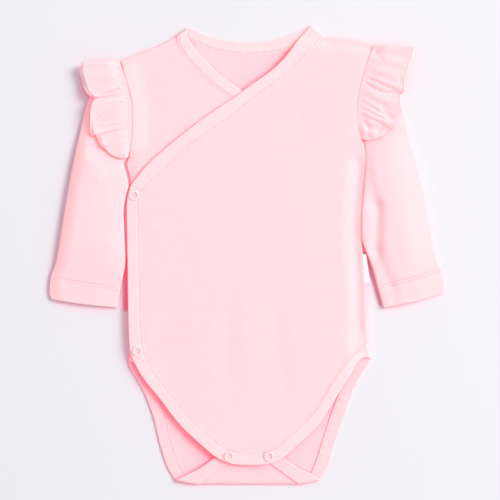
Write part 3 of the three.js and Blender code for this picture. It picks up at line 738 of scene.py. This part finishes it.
# How far a flounce's seam is drawn up to or over the panel's edge, and how high its middle lies there
SEAM_DRAWN = {"left": 0.5, "right": 0.75}
SEAM_HEIGHT = {"left": 5.2, "right": 5.5}
SHOULDER_DROP = 1.2  # how much lower that is at the shoulder
RUFFLE_ROOT = SLEEVE_HEIGHT + GAP + CLOTH / 2


def ruffle_place(side, rows, armhole, creases):
    """A gathered flounce: sewn in along the armhole, waving more and more towards its free edge."""
    seam = evenly(smooth_line(armhole) - np.array([math.copysign(SEAM_DRAWN[side], armhole[0][0]), 0]))
    root = by_rows(smooth_line(seam(np.array([row.along for row in rows])), count=1600))
    edge = ruffle_edge(rows)
    shape = by_rows(smooth_line([(row.swell, row.droop, i) for i, row in enumerate(rows)], count=1600))

    def place(u, v):
        start, end = root(v), edge(v)
        flat = mix(start, end[:, :2], u[:, None])
        x, y = flat[:, 0], flat[:, 1]
        rise = shape(v)[:, 0] * np.sin(math.pi * u**0.8) - shape(v)[:, 1] * smooth_step(u, 0.91, 1)
        gathers = np.sin(2 * math.pi * 11 * v) * np.sin(math.pi * u) * 0.35
        tight = np.sin(2 * math.pi * 29 * v + 5 * np.sin(17 * v)) * np.exp(-u / 0.16) * 0.12
        at_shoulder = SHOULDER_DROP * (1 - smooth_step(v, 0, 0.12))
        at_root = mix(SEAM_HEIGHT[side] - at_shoulder, RUFFLE_ROOT, smooth_step(u, 0, 0.4))
        folds = creased(x, y, creases) * smooth_step(u, 0, 0.12)
        z = mix(at_root, end[:, 2], u**2.4) + rise + gathers + tight * smooth_step(u, 0, 0.05) + folds
        return np.stack([x, y, z], axis=-1)

    return place


STITCH_ROW = 2.3  # how far from its seam a binding is stitched down
BAND_TOP = 0.55  # how high a binding's top stands over its middle
BAND_ROLL = 1.1
LIP_REACH = 4.5
BAND_STEP = 1.6
FOLD_STEP = 0.8  # the step on bindings that go round the fold


def binding_place(lines, level, lip):
    """A binding's outer surface, round its flat section and along it.

    The lip is how high its top already stands at its seam, as a share of its height.
    """

    def place(around, along):
        seam, edge = lines.seam(along), lines.edge(along)
        width = np.linalg.norm(edge - seam, axis=1)
        across, rise = flat_tube(around, width, BAND_ROLL)
        flat = mix(seam, edge, across[:, None])
        from_seam = across * width
        sunk = np.exp(-(((from_seam - STITCH_ROW) / 0.7) ** 2)) * sizes().furrow / MM
        run = along * lines.length
        ripple = np.sin(2 * math.pi * run / 7.3 + 3 * np.sin(run / 41)) * np.exp(-from_seam / 4)
        ripple *= sizes().pucker / MM
        soft = np.sin(run / 9.1 + 2 * np.sin(run / 37)) * 0.06
        waves = (ripple + soft) * smooth_step(np.minimum(run, lines.length - run), 0, 8)
        upper = BAND_TOP * rise * mix(lip, 1, smooth_step(from_seam, 0, LIP_REACH)) + waves - sunk
        return level(flat[:, 0], flat[:, 1], BAND / 2, np.where(rise > 0, upper, BAND / 2 * rise))

    return place


def lying(level_at):
    return lambda x, y, middle, off: np.stack([x, y, level_at(x, y) + middle + off], axis=-1)


def following_fold(x, y, middle, off):
    """A point that lies on the flat cut, middle above it and off from its own middle, folded up."""
    fold_y = FOLD_Y + CORNER_RISE * np.clip((np.abs(x) - CORNER_START) / CORNER_REACH, 0, 1) ** 2
    beyond = np.maximum(fold_y - y, 0)
    turn = np.minimum(beyond / FOLD_RADIUS, math.pi)
    flat = np.maximum(beyond - math.pi * FOLD_RADIUS, 0)
    reach = FOLD_RADIUS - off
    folded_y = fold_y - reach * np.sin(turn) + flat
    return np.stack(
        [x, np.where(beyond > 0, folded_y, y), middle + FOLD_RADIUS - reach * np.cos(turn)], axis=-1
    )


# Materials
KEY_PLACE = (4.57, 1.65, 3.53)
CLOSE_REACH = 0.014  # how far off other cloth still paints shade and glow into the jersey, in metres
SHADE_REACH = 0.036  # the same for the painted shade on the inside, towards the key light
# how far off the cloth still paints shade onto the floor, towards the key light
FLOOR_REACH = 0.046


class Link:
    """The output of a node, with Python's arithmetic on values."""

    def __init__(self, finish, socket):
        self.finish = finish
        self.socket = socket

    def math(self, operation, *values):
        return self.finish.node("Math", {"operation": operation}, dict(enumerate(values)))

    def __add__(self, other):
        return self.math("ADD", self, other)

    def __radd__(self, other):
        return self.math("ADD", other, self)

    def __sub__(self, other):
        return self.math("SUBTRACT", self, other)

    def __rsub__(self, other):
        return self.math("SUBTRACT", other, self)

    def __mul__(self, other):
        return self.math("MULTIPLY", self, other)

    def __rmul__(self, other):
        return self.math("MULTIPLY", other, self)

    def __truediv__(self, other):
        return self.math("DIVIDE", self, other)

    def __pow__(self, other):
        return self.math("POWER", self, other)

    def sine(self):
        return self.math("SINE", self)


class Finish:
    """A material and its nodes."""

    def __init__(self, name):
        self.material = bpy.data.materials.new(name)
        self.material.use_nodes = True
        self.tree = self.material.node_tree
        self.tree.nodes.clear()

    def node(self, kind, settings=None, sockets=None, output=0):
        """Adds a node, sets it up and feeds its sockets, and gives one of its outputs."""
        node = self.tree.nodes.new("ShaderNode" + kind)
        for key, value in (settings or {}).items():
            setattr(node, key, value)
        for key, value in (sockets or {}).items():
            if isinstance(value, Link):
                self.tree.links.new(value.socket, node.inputs[key])
            else:
                node.inputs[key].default_value = value
        return Link(self, node.outputs[output]) if node.outputs else None

    def clamped(self, operation, a, b):
        """A sum on two values, kept from 0 to 1."""
        return self.node("Math", {"operation": operation, "use_clamp": True}, {0: a, 1: b})

    def blend(self, share, a, b):
        """A colour between two."""
        return self.node("Mix", {"data_type": "RGBA"}, {0: share, 6: a, 7: b}, output=2)

    def closeness(self, reach, low, high, towards=None, samples=6):
        """How near other things are, from 0 to 1: all round above the surface, or towards a light."""
        sockets = {"Distance": reach}
        if towards:
            sockets["Normal"] = self.node("CombineXYZ", None, dict(enumerate(towards)))
        open_air = self.node("AmbientOcclusion", {"samples": samples}, sockets, output=1)
        return self.node("MapRange", None, {0: 1 - open_air, 1: low, 2: high})

    def surface(self, sockets):
        """The finished material, with a Principled shader fed by these sockets."""
        shader = self.node("BsdfPrincipled", None, sockets)
        self.node("OutputMaterial", None, {"Surface": shader})
        return self.material


def to_key():
    return tuple(Vector(KEY_PLACE).normalized())


def rgba(colour):
    return (*colour, 1.0)


def knitted(name, colour, towards=None):
    """Interlock jersey: fine columns of knitting, soft and matte.

    Painted shade deepens its colour in close folds, or in the shade of what lies towards a light, and a
    painted glow is emitted in the same places.
    """
    made = Finish(name)
    place = made.node("UVMap", {"uv_map": "cloth"})
    u = made.node("SeparateXYZ", None, {0: place}, output=0)
    v = made.node("SeparateXYZ", None, {0: place}, output=1)
    turn = 2 * math.pi / sizes().wale
    loops = (u * turn).sine() * 0.5 + ((v * turn * 1.15) + (u * turn).sine() * 0.8).sine() * 0.5
    coordinates = made.node("TexCoord", output=3)
    fuzz = made.node("TexNoise", None, {"Vector": coordinates, "Scale": 900.0, "Detail": 3.0})
    broad = made.node("TexNoise", None, {"Vector": coordinates, "Scale": 22.0, "Detail": 2.0})
    height = loops * 0.5 + fuzz * 0.6
    bump = made.node("Bump", None, {"Strength": 0.35, "Distance": 0.00012, "Height": height})
    # Mask for the painted shade and glow: how close other cloth is, all round or towards the key light
    if towards:
        closeness = made.closeness(SHADE_REACH, 0.17, 0.79, towards) ** 0.8
    else:
        closeness = made.closeness(CLOSE_REACH, 0.0, 1.0)
    patchy = made.blend(broad * 0.16, rgba(colour), rgba([c * k for c, k in zip(colour, (0.99, 0.9, 0.92))]))
    # Painted shade deepens the colour, and a painted glow is emitted, where the mask is high
    base = made.blend(closeness ** 2.2 * 0.8, patchy, rgba(colours().depth))
    painted_glow = made.blend(closeness ** 2, (0.0, 0.0, 0.0, 1.0), rgba(colours().painted_glow))
    return made.surface({
        "Base Color": base,
        "Roughness": 0.85,
        "Normal": bump,
        "Emission Color": painted_glow,
        "Emission Strength": 1.0,
        "Specular IOR Level": 0.15,
        "Sheen Weight": 0.06,
        "Sheen Roughness": 0.5,
        "Sheen Tint": (1.0, 0.85, 0.88, 1.0),
        "Subsurface Weight": 0.6,
        "Subsurface Radius": (1.0, 0.25, 0.32),
        "Subsurface Scale": 0.004,
    })


def plain(name, colour, roughness, grain=0.0, scale=400.0):
    """A smooth small thing, with a fine grain in its colour and surface."""
    made = Finish(name)
    coordinates = made.node("TexCoord", output=3)
    noise = made.node("TexNoise", None, {"Vector": coordinates, "Scale": scale, "Detail": 2.0})
    bump = made.node("Bump", None, {"Strength": grain, "Distance": 0.0001, "Height": noise})
    base = made.blend(noise * 0.3, rgba(colour), rgba([c * 0.94 for c in colour]))
    return made.surface({"Base Color": base, "Roughness": roughness, "Normal": bump})


def pale_floor(name):
    """A plain pale floor with painted shade: pinker in the shade of the cloth, on the side away from the key
    light, and deep pink in the narrow gaps between sleeves and body.
    """
    made = Finish(name)
    coordinates = made.node("TexCoord", output=3)
    x, y = (made.node("SeparateXYZ", None, {0: coordinates}, output=axis) for axis in (0, 1))
    noise = made.node("TexNoise", None, {"Vector": coordinates, "Scale": 3.0, "Detail": 2.0})
    pale = made.blend(noise * 0.1, rgba(colours().floor), rgba([c * 0.97 for c in colours().floor]))
    shade = made.closeness(FLOOR_REACH, 0.17, 1.0, to_key(), 16) ** 0.6 * 0.95
    shaded = made.blend(shade, pale, rgba(colours().floor_shade))
    # Painted shade in each listed gap, strongest along its middle line
    for gap in FLOOR_GAPS:
        run_x, run_y = (gap.to_x - gap.from_x) * MM, (gap.to_y - gap.from_y) * MM
        along_x, along_y = x - gap.from_x * MM, y - gap.from_y * MM
        share = made.clamped("MULTIPLY", along_x * run_x + along_y * run_y, 1 / (run_x**2 + run_y**2))
        off_x, off_y = along_x - share * run_x, along_y - share * run_y
        near = made.clamped("SUBTRACT", 1.0, (off_x * off_x + off_y * off_y) * (gap.width * MM) ** -2)
        shaded = made.blend(near * gap.tint, shaded, rgba(colours().floor_gap_shade))
    return made.surface({"Base Color": shaded, "Roughness": 0.8})


def finish_named(name, make):
    """A material that several pieces share, made once."""
    return bpy.data.materials.get(name) or make(name)


def jersey():
    return finish_named("pink_interlock", lambda name: knitted(name, colours().jersey))


# The same jersey, with its painted shade taken towards the key light instead of all round
def inside_jersey_key_shade():
    return finish_named("pink_inside", lambda name: knitted(name, colours().jersey, to_key()))


def binding_jersey():
    lighter = [c * k for c, k in zip(colours().jersey, (1, 1.03, 1.02))]
    return finish_named("pink_binding", lambda name: knitted(name, lighter))


def sewing_thread():
    return finish_named("sewing_thread", lambda name: plain(name, colours().thread, 0.6, 0.3))


class BODYSUIT_OT_stage(bpy.types.Operator):
    """Sets the floor, the soft studio light and the camera above the garment"""

    bl_idname = "bodysuit.stage"
    bl_label = "Stage"

    def execute(self, context):
        scene = context.scene
        scene.view_settings.view_transform = "Standard"
        camera = bpy.data.cameras.new("camera")
        camera.lens = 85
        camera.sensor_width = 36
        camera.clip_start = 0.01
        above = bpy.data.objects.new("camera", camera)
        above.location = (0.00276, 0.0046, 1.0861)
        scene.collection.objects.link(above)
        scene.camera = above

        bm = bmesh.new()
        bmesh.ops.create_grid(bm, x_segments=1, y_segments=1, size=3)
        mesh = bpy.data.meshes.new("floor")
        bm.to_mesh(mesh)
        bm.free()
        mesh.materials.append(finish_named("studio_floor", pale_floor))
        floor = bpy.data.objects.new("floor", mesh)
        scene.collection.objects.link(floor)

        self.add_light("key", KEY_PLACE, 2.8, 352.0, (1.0, 0.995, 0.98))
        self.add_light("top", (0.1, 0.15, 2.5), 1.6, 9.5, (1.0, 1.0, 1.0))
        world = bpy.data.worlds.new("studio")
        world.use_nodes = True
        background = world.node_tree.nodes["Background"]
        background.inputs["Color"].default_value = (0.95, 0.95, 1.0, 1.0)
        background.inputs["Strength"].default_value = 0.64
        scene.world = world
        return {"FINISHED"}

    def add_light(self, name, place, size, power, colour):
        light = bpy.data.lights.new(name, "AREA")
        light.shape = "DISK"
        light.size = size
        light.energy = power
        light.color = colour
        lamp = bpy.data.objects.new(name, light)
        lamp.location = place
        lamp.rotation_euler = (-Vector(place)).to_track_quat("-Z", "Y").to_euler()
        bpy.context.scene.collection.objects.link(lamp)


class BODYSUIT_OT_panels(bpy.types.Operator):
    """Cuts the back with its crotch flap, the lower front and the front that wraps over it"""

    bl_idname = "bodysuit.panels"
    bl_label = "Back and fronts"

    def execute(self, context):
        fronts = ["lower_front", "back"]
        self.add_panel("back", self.back(), BACK_CUT, "back_panel", [], inside_jersey_key_shade())
        self.add_panel("lower_front", self.under(), UNDER_CUT, "under_front", fronts[1:], jersey())
        self.add_panel("wrap_over_front", self.wrap(), WRAP_CUT, "wrap_front", fronts, jersey())
        return {"FINISHED"}

    def add_panel(self, name, bm, flat, node, rests_on, finish):
        obj = add_piece(bm, name, [node], finish)
        give_wall(obj, sizes().cloth)

    def area(self, obj):
        """The cut's area, which lying flat leaves as it was."""
        return sum(face.area for face in obj.data.polygons)

    def back(self):
        def share_of(y):
            return (LEFT_SIDE[0][1] - y) / (LEFT_SIDE[0][1] - FLAP_END)

        knee = share_of(KNEE_Y)

        def side_line(side, leg):
            end = [[leg.panel[-1][0], FLAP_END]]
            return downwards_by(np.vstack([side, leg.panel, end]), knee)

        left = side_line(left_side, left_leg_back)
        right = side_line(right_side, right_leg_back)
        top = rightwards(np.vstack([left_shoulder, back_neck.panel, right_shoulder]))
        cut = patch(top, lambda u: mix(left(1.0), right(1.0), np.asarray(u)[..., None]), left, right)
        shares = [0, knee, share_of(FOLD_Y + CORNER_RISE), share_of(TURN_END), 1]
        along = steps(shares, [40, 118, 24, 20])

        def place(u, v):
            flat = cut(u, v)
            x, y = flat[:, 0], flat[:, 1]
            return following_fold(x, y, CLOTH / 2 + back_lift(x, y), 0)

        return cloth_grid(np.linspace(0, 1, 121), along, place, BACK_CUT)

    def under(self):
        left = downwards(np.vstack([left_side, [UNDER_HEM[0]]]))
        hem = by_rows(smooth_line(UNDER_HEM))
        right = downwards(np.vstack([under_neck.panel, [UNDER_HEM[-1]]]))
        cut = patch(evenly(left_shoulder), hem, left, right)

        def place(u, v):
            flat = cut(u, v)
            x, y = flat[:, 0], flat[:, 1]
            return np.stack([x, y, under_level(x, y) + CLOTH / 2], axis=-1)

        return cloth_grid(np.linspace(0, 1, 91), np.linspace(0, 1, 141), place, UNDER_CUT)

    def wrap(self):
        leg_start = int(len(wrap_edge.panel) * WRAP_EDGE_LEG_ROW / (len(WRAP_EDGE) - 1))
        side, leg = wrap_edge.panel[: leg_start + 1], wrap_edge.panel[leg_start:]
        left = downwards(np.vstack([wrap_neck.panel, side]))
        right = downwards(np.vstack([right_side, [leg[-1]]]))
        cut = patch(evenly(right_shoulder), evenly(leg), left, right)

        def place(u, v):
            flat = cut(u, v)
            x, y = flat[:, 0], flat[:, 1]
            level = wrap_level(x, y, SEAM_LEVEL)
            settled = smooth_step(level, SEAM_LEVEL, WRAP_LEVEL)
            return np.stack([x, y, level + CLOTH / 2 + creased(x, y, WRAP_CREASES) * settled], axis=-1)

        return cloth_grid(np.linspace(0, 1, 131), np.linspace(0, 1, 171), place, WRAP_CUT)


class BODYSUIT_OT_sleeves(bpy.types.Operator):
    """Sews the two long sleeves, with their hems turned up"""

    bl_idname = "bodysuit.sleeves"
    bl_label = "Sleeves"

    def execute(self, context):
        for name, rows, creases in (
            ("left", LEFT_SLEEVE, LEFT_SLEEVE_CREASES), ("right", RIGHT_SLEEVE, RIGHT_SLEEVE_CREASES)
        ):
            place = sleeve_place(rows, creases)
            bm = cloth_grid(np.linspace(0, 1, 141), np.linspace(0, 1, 141), place, (135, 245))
            close_tube(bm, capped=False)
            obj = add_piece(bm, f"{name}_sleeve", [f"sleeve_{name}"], jersey())
            give_wall(obj, sizes().cloth)
        return {"FINISHED"}


class BODYSUIT_OT_ruffles(bpy.types.Operator):
    """Gathers the two flounces into the armhole seams and rolls their hems"""

    bl_idname = "bodysuit.ruffles"
    bl_label = "Ruffles"

    def execute(self, context):
        for name, rows, sleeve, creases in (
            ("left", LEFT_RUFFLE, LEFT_SLEEVE, LEFT_RUFFLE_CREASES),
            ("right", RIGHT_RUFFLE, RIGHT_SLEEVE, RIGHT_RUFFLE_CREASES),
        ):
            place = ruffle_place(name, rows, sleeve.armhole, creases)
            bm = cloth_grid(np.linspace(0, 1, 61), np.linspace(0, 1, 261), place, (45, 190))
            obj = add_piece(bm, f"{name}_flounce", [f"ruffle_{name}"], jersey())
            give_wall(obj, sizes().cloth)
            hem = add_piece(self.hem(place), f"{name}_flounce_hem", [], jersey())
        return {"FINISHED"}

    def hem(self, place):
        """A fine rolled hem along the free edge."""
        radius = sizes().rolled_hem / MM

        def roll(around, along):
            middle = place(np.ones_like(along), along)
            inner = place(np.full_like(along, 0.97), along)
            out = middle - inner
            out /= np.linalg.norm(out, axis=1)[:, None]
            angle = 2 * math.pi * around[:, None]
            up = np.array([0, 0, 1.0])
            overlock = 1 + 0.08 * np.sin(2 * math.pi * along * 90)[:, None]
            return middle + radius * overlock * (out * np.cos(angle) + up * np.sin(angle))

        bm = cloth_grid(np.linspace(0, 1, 11), np.linspace(0, 1, 541), roll, (5, 190))
        close_tube(bm, capped=True)
        return bm


def beside_wrap(x, y):
    return wrap_level(x, y, UNDER_LEVEL)


# Bindings: their lip is explained at binding_place
BINDINGS = table("name lines level lip node rests_on", [
    ("back_neck_band", back_neck, lying(lambda x, y: 0 * x), 0.6, "back_neck_binding", ["back"]),
    (
        "lower_neck_band", under_neck, lying(lambda x, y: UNDER_LEVEL + 0 * x), 0.6, "under_neck_binding",
        ["back"],
    ),
    ("wrap_neck_band", wrap_neck, lying(beside_wrap), 0.4, "wrap_neck_binding", ["lower_front"]),
    ("wrap_edge_band", wrap_edge, lying(beside_wrap), 0.4, "wrap_edge_binding", ["lower_front", "back"]),
    ("left_leg_band", left_leg_back, following_fold, 0.6, "back_leg_binding_left", ["back"]),
    ("right_leg_band", right_leg_back, following_fold, 1.8, "back_leg_binding_right", ["back"]),
])


class BODYSUIT_OT_bindings(bpy.types.Operator):
    """Folds the jersey bindings over the neck, wrap and leg edges"""

    bl_idname = "bodysuit.bindings"
    bl_label = "Bindings"

    def execute(self, context):
        for row in BINDINGS:
            lines = row.lines
            step = FOLD_STEP if row.level is following_fold else BAND_STEP
            along = np.linspace(0, 1, int(lines.length / step) + 1)
            place = binding_place(lines, row.level, row.lip)
            bm = cloth_grid(np.linspace(0, 1, 61), along, place, (2 * lines.width, lines.length))
            close_tube(bm, capped=True)
            finish = inside_jersey_key_shade() if row.level is following_fold else binding_jersey()
            obj = add_piece(bm, row.name, [row.node], finish)
        return {"FINISHED"}


class BODYSUIT_OT_stitching(bpy.types.Operator):
    """Stitches down the bindings and the sleeve hems"""

    bl_idname = "bodysuit.stitching"
    bl_label = "Stitching"

    def execute(self, context):
        for row in BINDINGS:
            self.add_rows(f"{row.name}_stitches", [self.binding_row(row)], "binding")
        for name, rows, creases in (
            ("left", LEFT_SLEEVE, LEFT_SLEEVE_CREASES), ("right", RIGHT_SLEEVE, RIGHT_SLEEVE_CREASES)
        ):
            lines = [self.hem_row(rows, creases, back) for back in (0.0, 0.012)]
            self.add_rows(f"{name}_hem_stitches", lines, "jersey")
        return {"FINISHED"}

    def binding_row(self, row):
        lines = row.lines
        along = np.linspace(0.002, 0.998, int(lines.length))
        width = np.linalg.norm(lines.edge(along) - lines.seam(along), axis=1)
        return binding_place(lines, row.level, row.lip)(tube_place(STITCH_ROW / width), along)

    def hem_row(self, rows, creases, back):
        across = np.linspace(0.03, 0.97, 160)
        along = mix(rows.hem[0], rows.hem[1], across) - back
        points = sleeve_place(rows, creases)(tube_place(across), along)
        return points + np.array([0, 0, sizes().cloth / MM / 2])

    def add_rows(self, name, rows, slot):
        bm = bmesh.new()
        for row in rows:
            run = lengths(row)
            count = int(run[-1] * MM / sizes().stitch)
            ends = read_by(row, run)(np.linspace(0, 1, count + 1)) * MM
            for start, end in zip(ends, ends[1:]):
                self.add_stitch(bm, Vector(start), Vector(end))
        add_piece(bm, name, [], sewing_thread())

    def add_stitch(self, bm, start, end):
        radius = sizes().thread
        step = end - start
        shape = Matrix.Diagonal((step.length * 0.3, radius, radius, 1))
        turned = step.to_track_quat("X", "Z").to_matrix().to_4x4()
        place = Matrix.Translation((start + end) / 2) @ turned @ shape
        bmesh.ops.create_uvsphere(bm, u_segments=6, v_segments=4, radius=1, matrix=place)


RING_SUNK = 0.6  # how deep a ring is pressed into its binding
SNAP_PROFILE = [
    (2.4, 0.1), (2.5, 0.65), (2.8, 0.85), (3.2, 0.8), (3.6, 0.72), (4.0, 0.8), (4.35, 0.85), (4.65, 0.6),
    (4.75, 0.3), (4.6, 0.05), (2.6, 0.0),
]


class BODYSUIT_OT_snaps(bpy.types.Operator):
    """Presses on the four ring snaps"""

    bl_idname = "bodysuit.snaps"
    bl_label = "Snaps"

    def execute(self, context):
        enamel = finish_named("snap_enamel", lambda name: plain(name, colours().snap, 0.35, 0.05))
        for number, (x, y) in enumerate(SNAPS, 1):
            node = f"snap_ring_{number}"
            low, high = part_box(node)
            bm = bmesh.new()
            section = [bm.verts.new(Vector((r * MM, 0, h * MM))) for r, h in SNAP_PROFILE]
            edges = [bm.edges.new((a, b)) for a, b in zip(section, section[1:] + section[:1])]
            bmesh.ops.spin(
                bm, geom=section + edges, cent=(0, 0, 0), axis=(0, 0, 1), angle=2 * math.pi, steps=64,
                use_merge=True,
            )
            bmesh.ops.recalc_face_normals(bm, faces=bm.faces)
            middle = ((low[0] + high[0]) / 2, (low[1] + high[1]) / 2, low[2] - RING_SUNK * MM)
            bmesh.ops.translate(bm, verts=bm.verts, vec=middle)
            add_piece(bm, f"ring_{number}", [node], enamel)
            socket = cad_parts[f"snap_socket_{number}"]
            socket.data.materials.clear()
            socket.data.materials.append(enamel)
        return {"FINISHED"}


class BODYSUIT_OT_label(bpy.types.Operator):
    """Folds the blank label into the side seam"""

    bl_idname = "bodysuit.label"
    bl_label = "Label"

    def execute(self, context):
        tape = finish_named("label_tape", lambda name: plain(name, colours().label, 0.5, 0.4, 1500.0))
        corners = np.array(LABEL)

        def place(around, along):
            across, rise = flat_tube(around, 4.0, 0.5)
            inner = mix(corners[0], corners[3], along[:, None]) - np.array([2.0, 0])
            outer = mix(corners[1], corners[2], along[:, None])
            flat = mix(inner, outer, across[:, None])
            droop = 0.25 * np.sin(math.pi * along)
            return np.stack([flat[:, 0], flat[:, 1], LABEL_LEVEL + 0.42 * rise + droop], axis=-1)

        bm = cloth_grid(np.linspace(0, 1, 33), np.linspace(0, 1, 41), place, (12, 26))
        close_tube(bm, capped=True)
        obj = add_piece(bm, "blank_label", ["side_label"], tape)
        return {"FINISHED"}


class BODYSUIT_PT_panel(bpy.types.Panel):
    """Lists the pieces of the bodysuit and their sizes and colours"""

    bl_idname = "BODYSUIT_PT_panel"
    bl_label = "Bodysuit"
    bl_space_type = "VIEW_3D"
    bl_region_type = "UI"
    bl_category = "Bodysuit"

    def draw(self, context):
        for operator in OPERATORS:
            self.layout.operator(operator.bl_idname)
        for group in (context.scene.bodysuit_sizes, context.scene.bodysuit_colours):
            for name in group.__annotations__:
                self.layout.prop(group, name)


OPERATORS = (
    BODYSUIT_OT_stage,
    BODYSUIT_OT_panels,
    BODYSUIT_OT_sleeves,
    BODYSUIT_OT_ruffles,
    BODYSUIT_OT_bindings,
    BODYSUIT_OT_stitching,
    BODYSUIT_OT_snaps,
    BODYSUIT_OT_label,
)
CLASSES = (BodysuitSizes, BodysuitColours, *OPERATORS, BODYSUIT_PT_panel)


def register():
    for cls in CLASSES:
        bpy.utils.register_class(cls)
    bpy.types.Scene.bodysuit_sizes = bpy.props.PointerProperty(type=BodysuitSizes)
    bpy.types.Scene.bodysuit_colours = bpy.props.PointerProperty(type=BodysuitColours)


def unregister():
    del bpy.types.Scene.bodysuit_colours
    del bpy.types.Scene.bodysuit_sizes
    for cls in reversed(CLASSES):
        bpy.utils.unregister_class(cls)


def main():
    register()
    bpy.ops.bodysuit.stage()
    bpy.ops.bodysuit.panels()
    bpy.ops.bodysuit.sleeves()
    bpy.ops.bodysuit.ruffles()
    bpy.ops.bodysuit.bindings()
    bpy.ops.bodysuit.stitching()
    bpy.ops.bodysuit.snaps()
    bpy.ops.bodysuit.label()


if __name__ == "__main__":
    main()
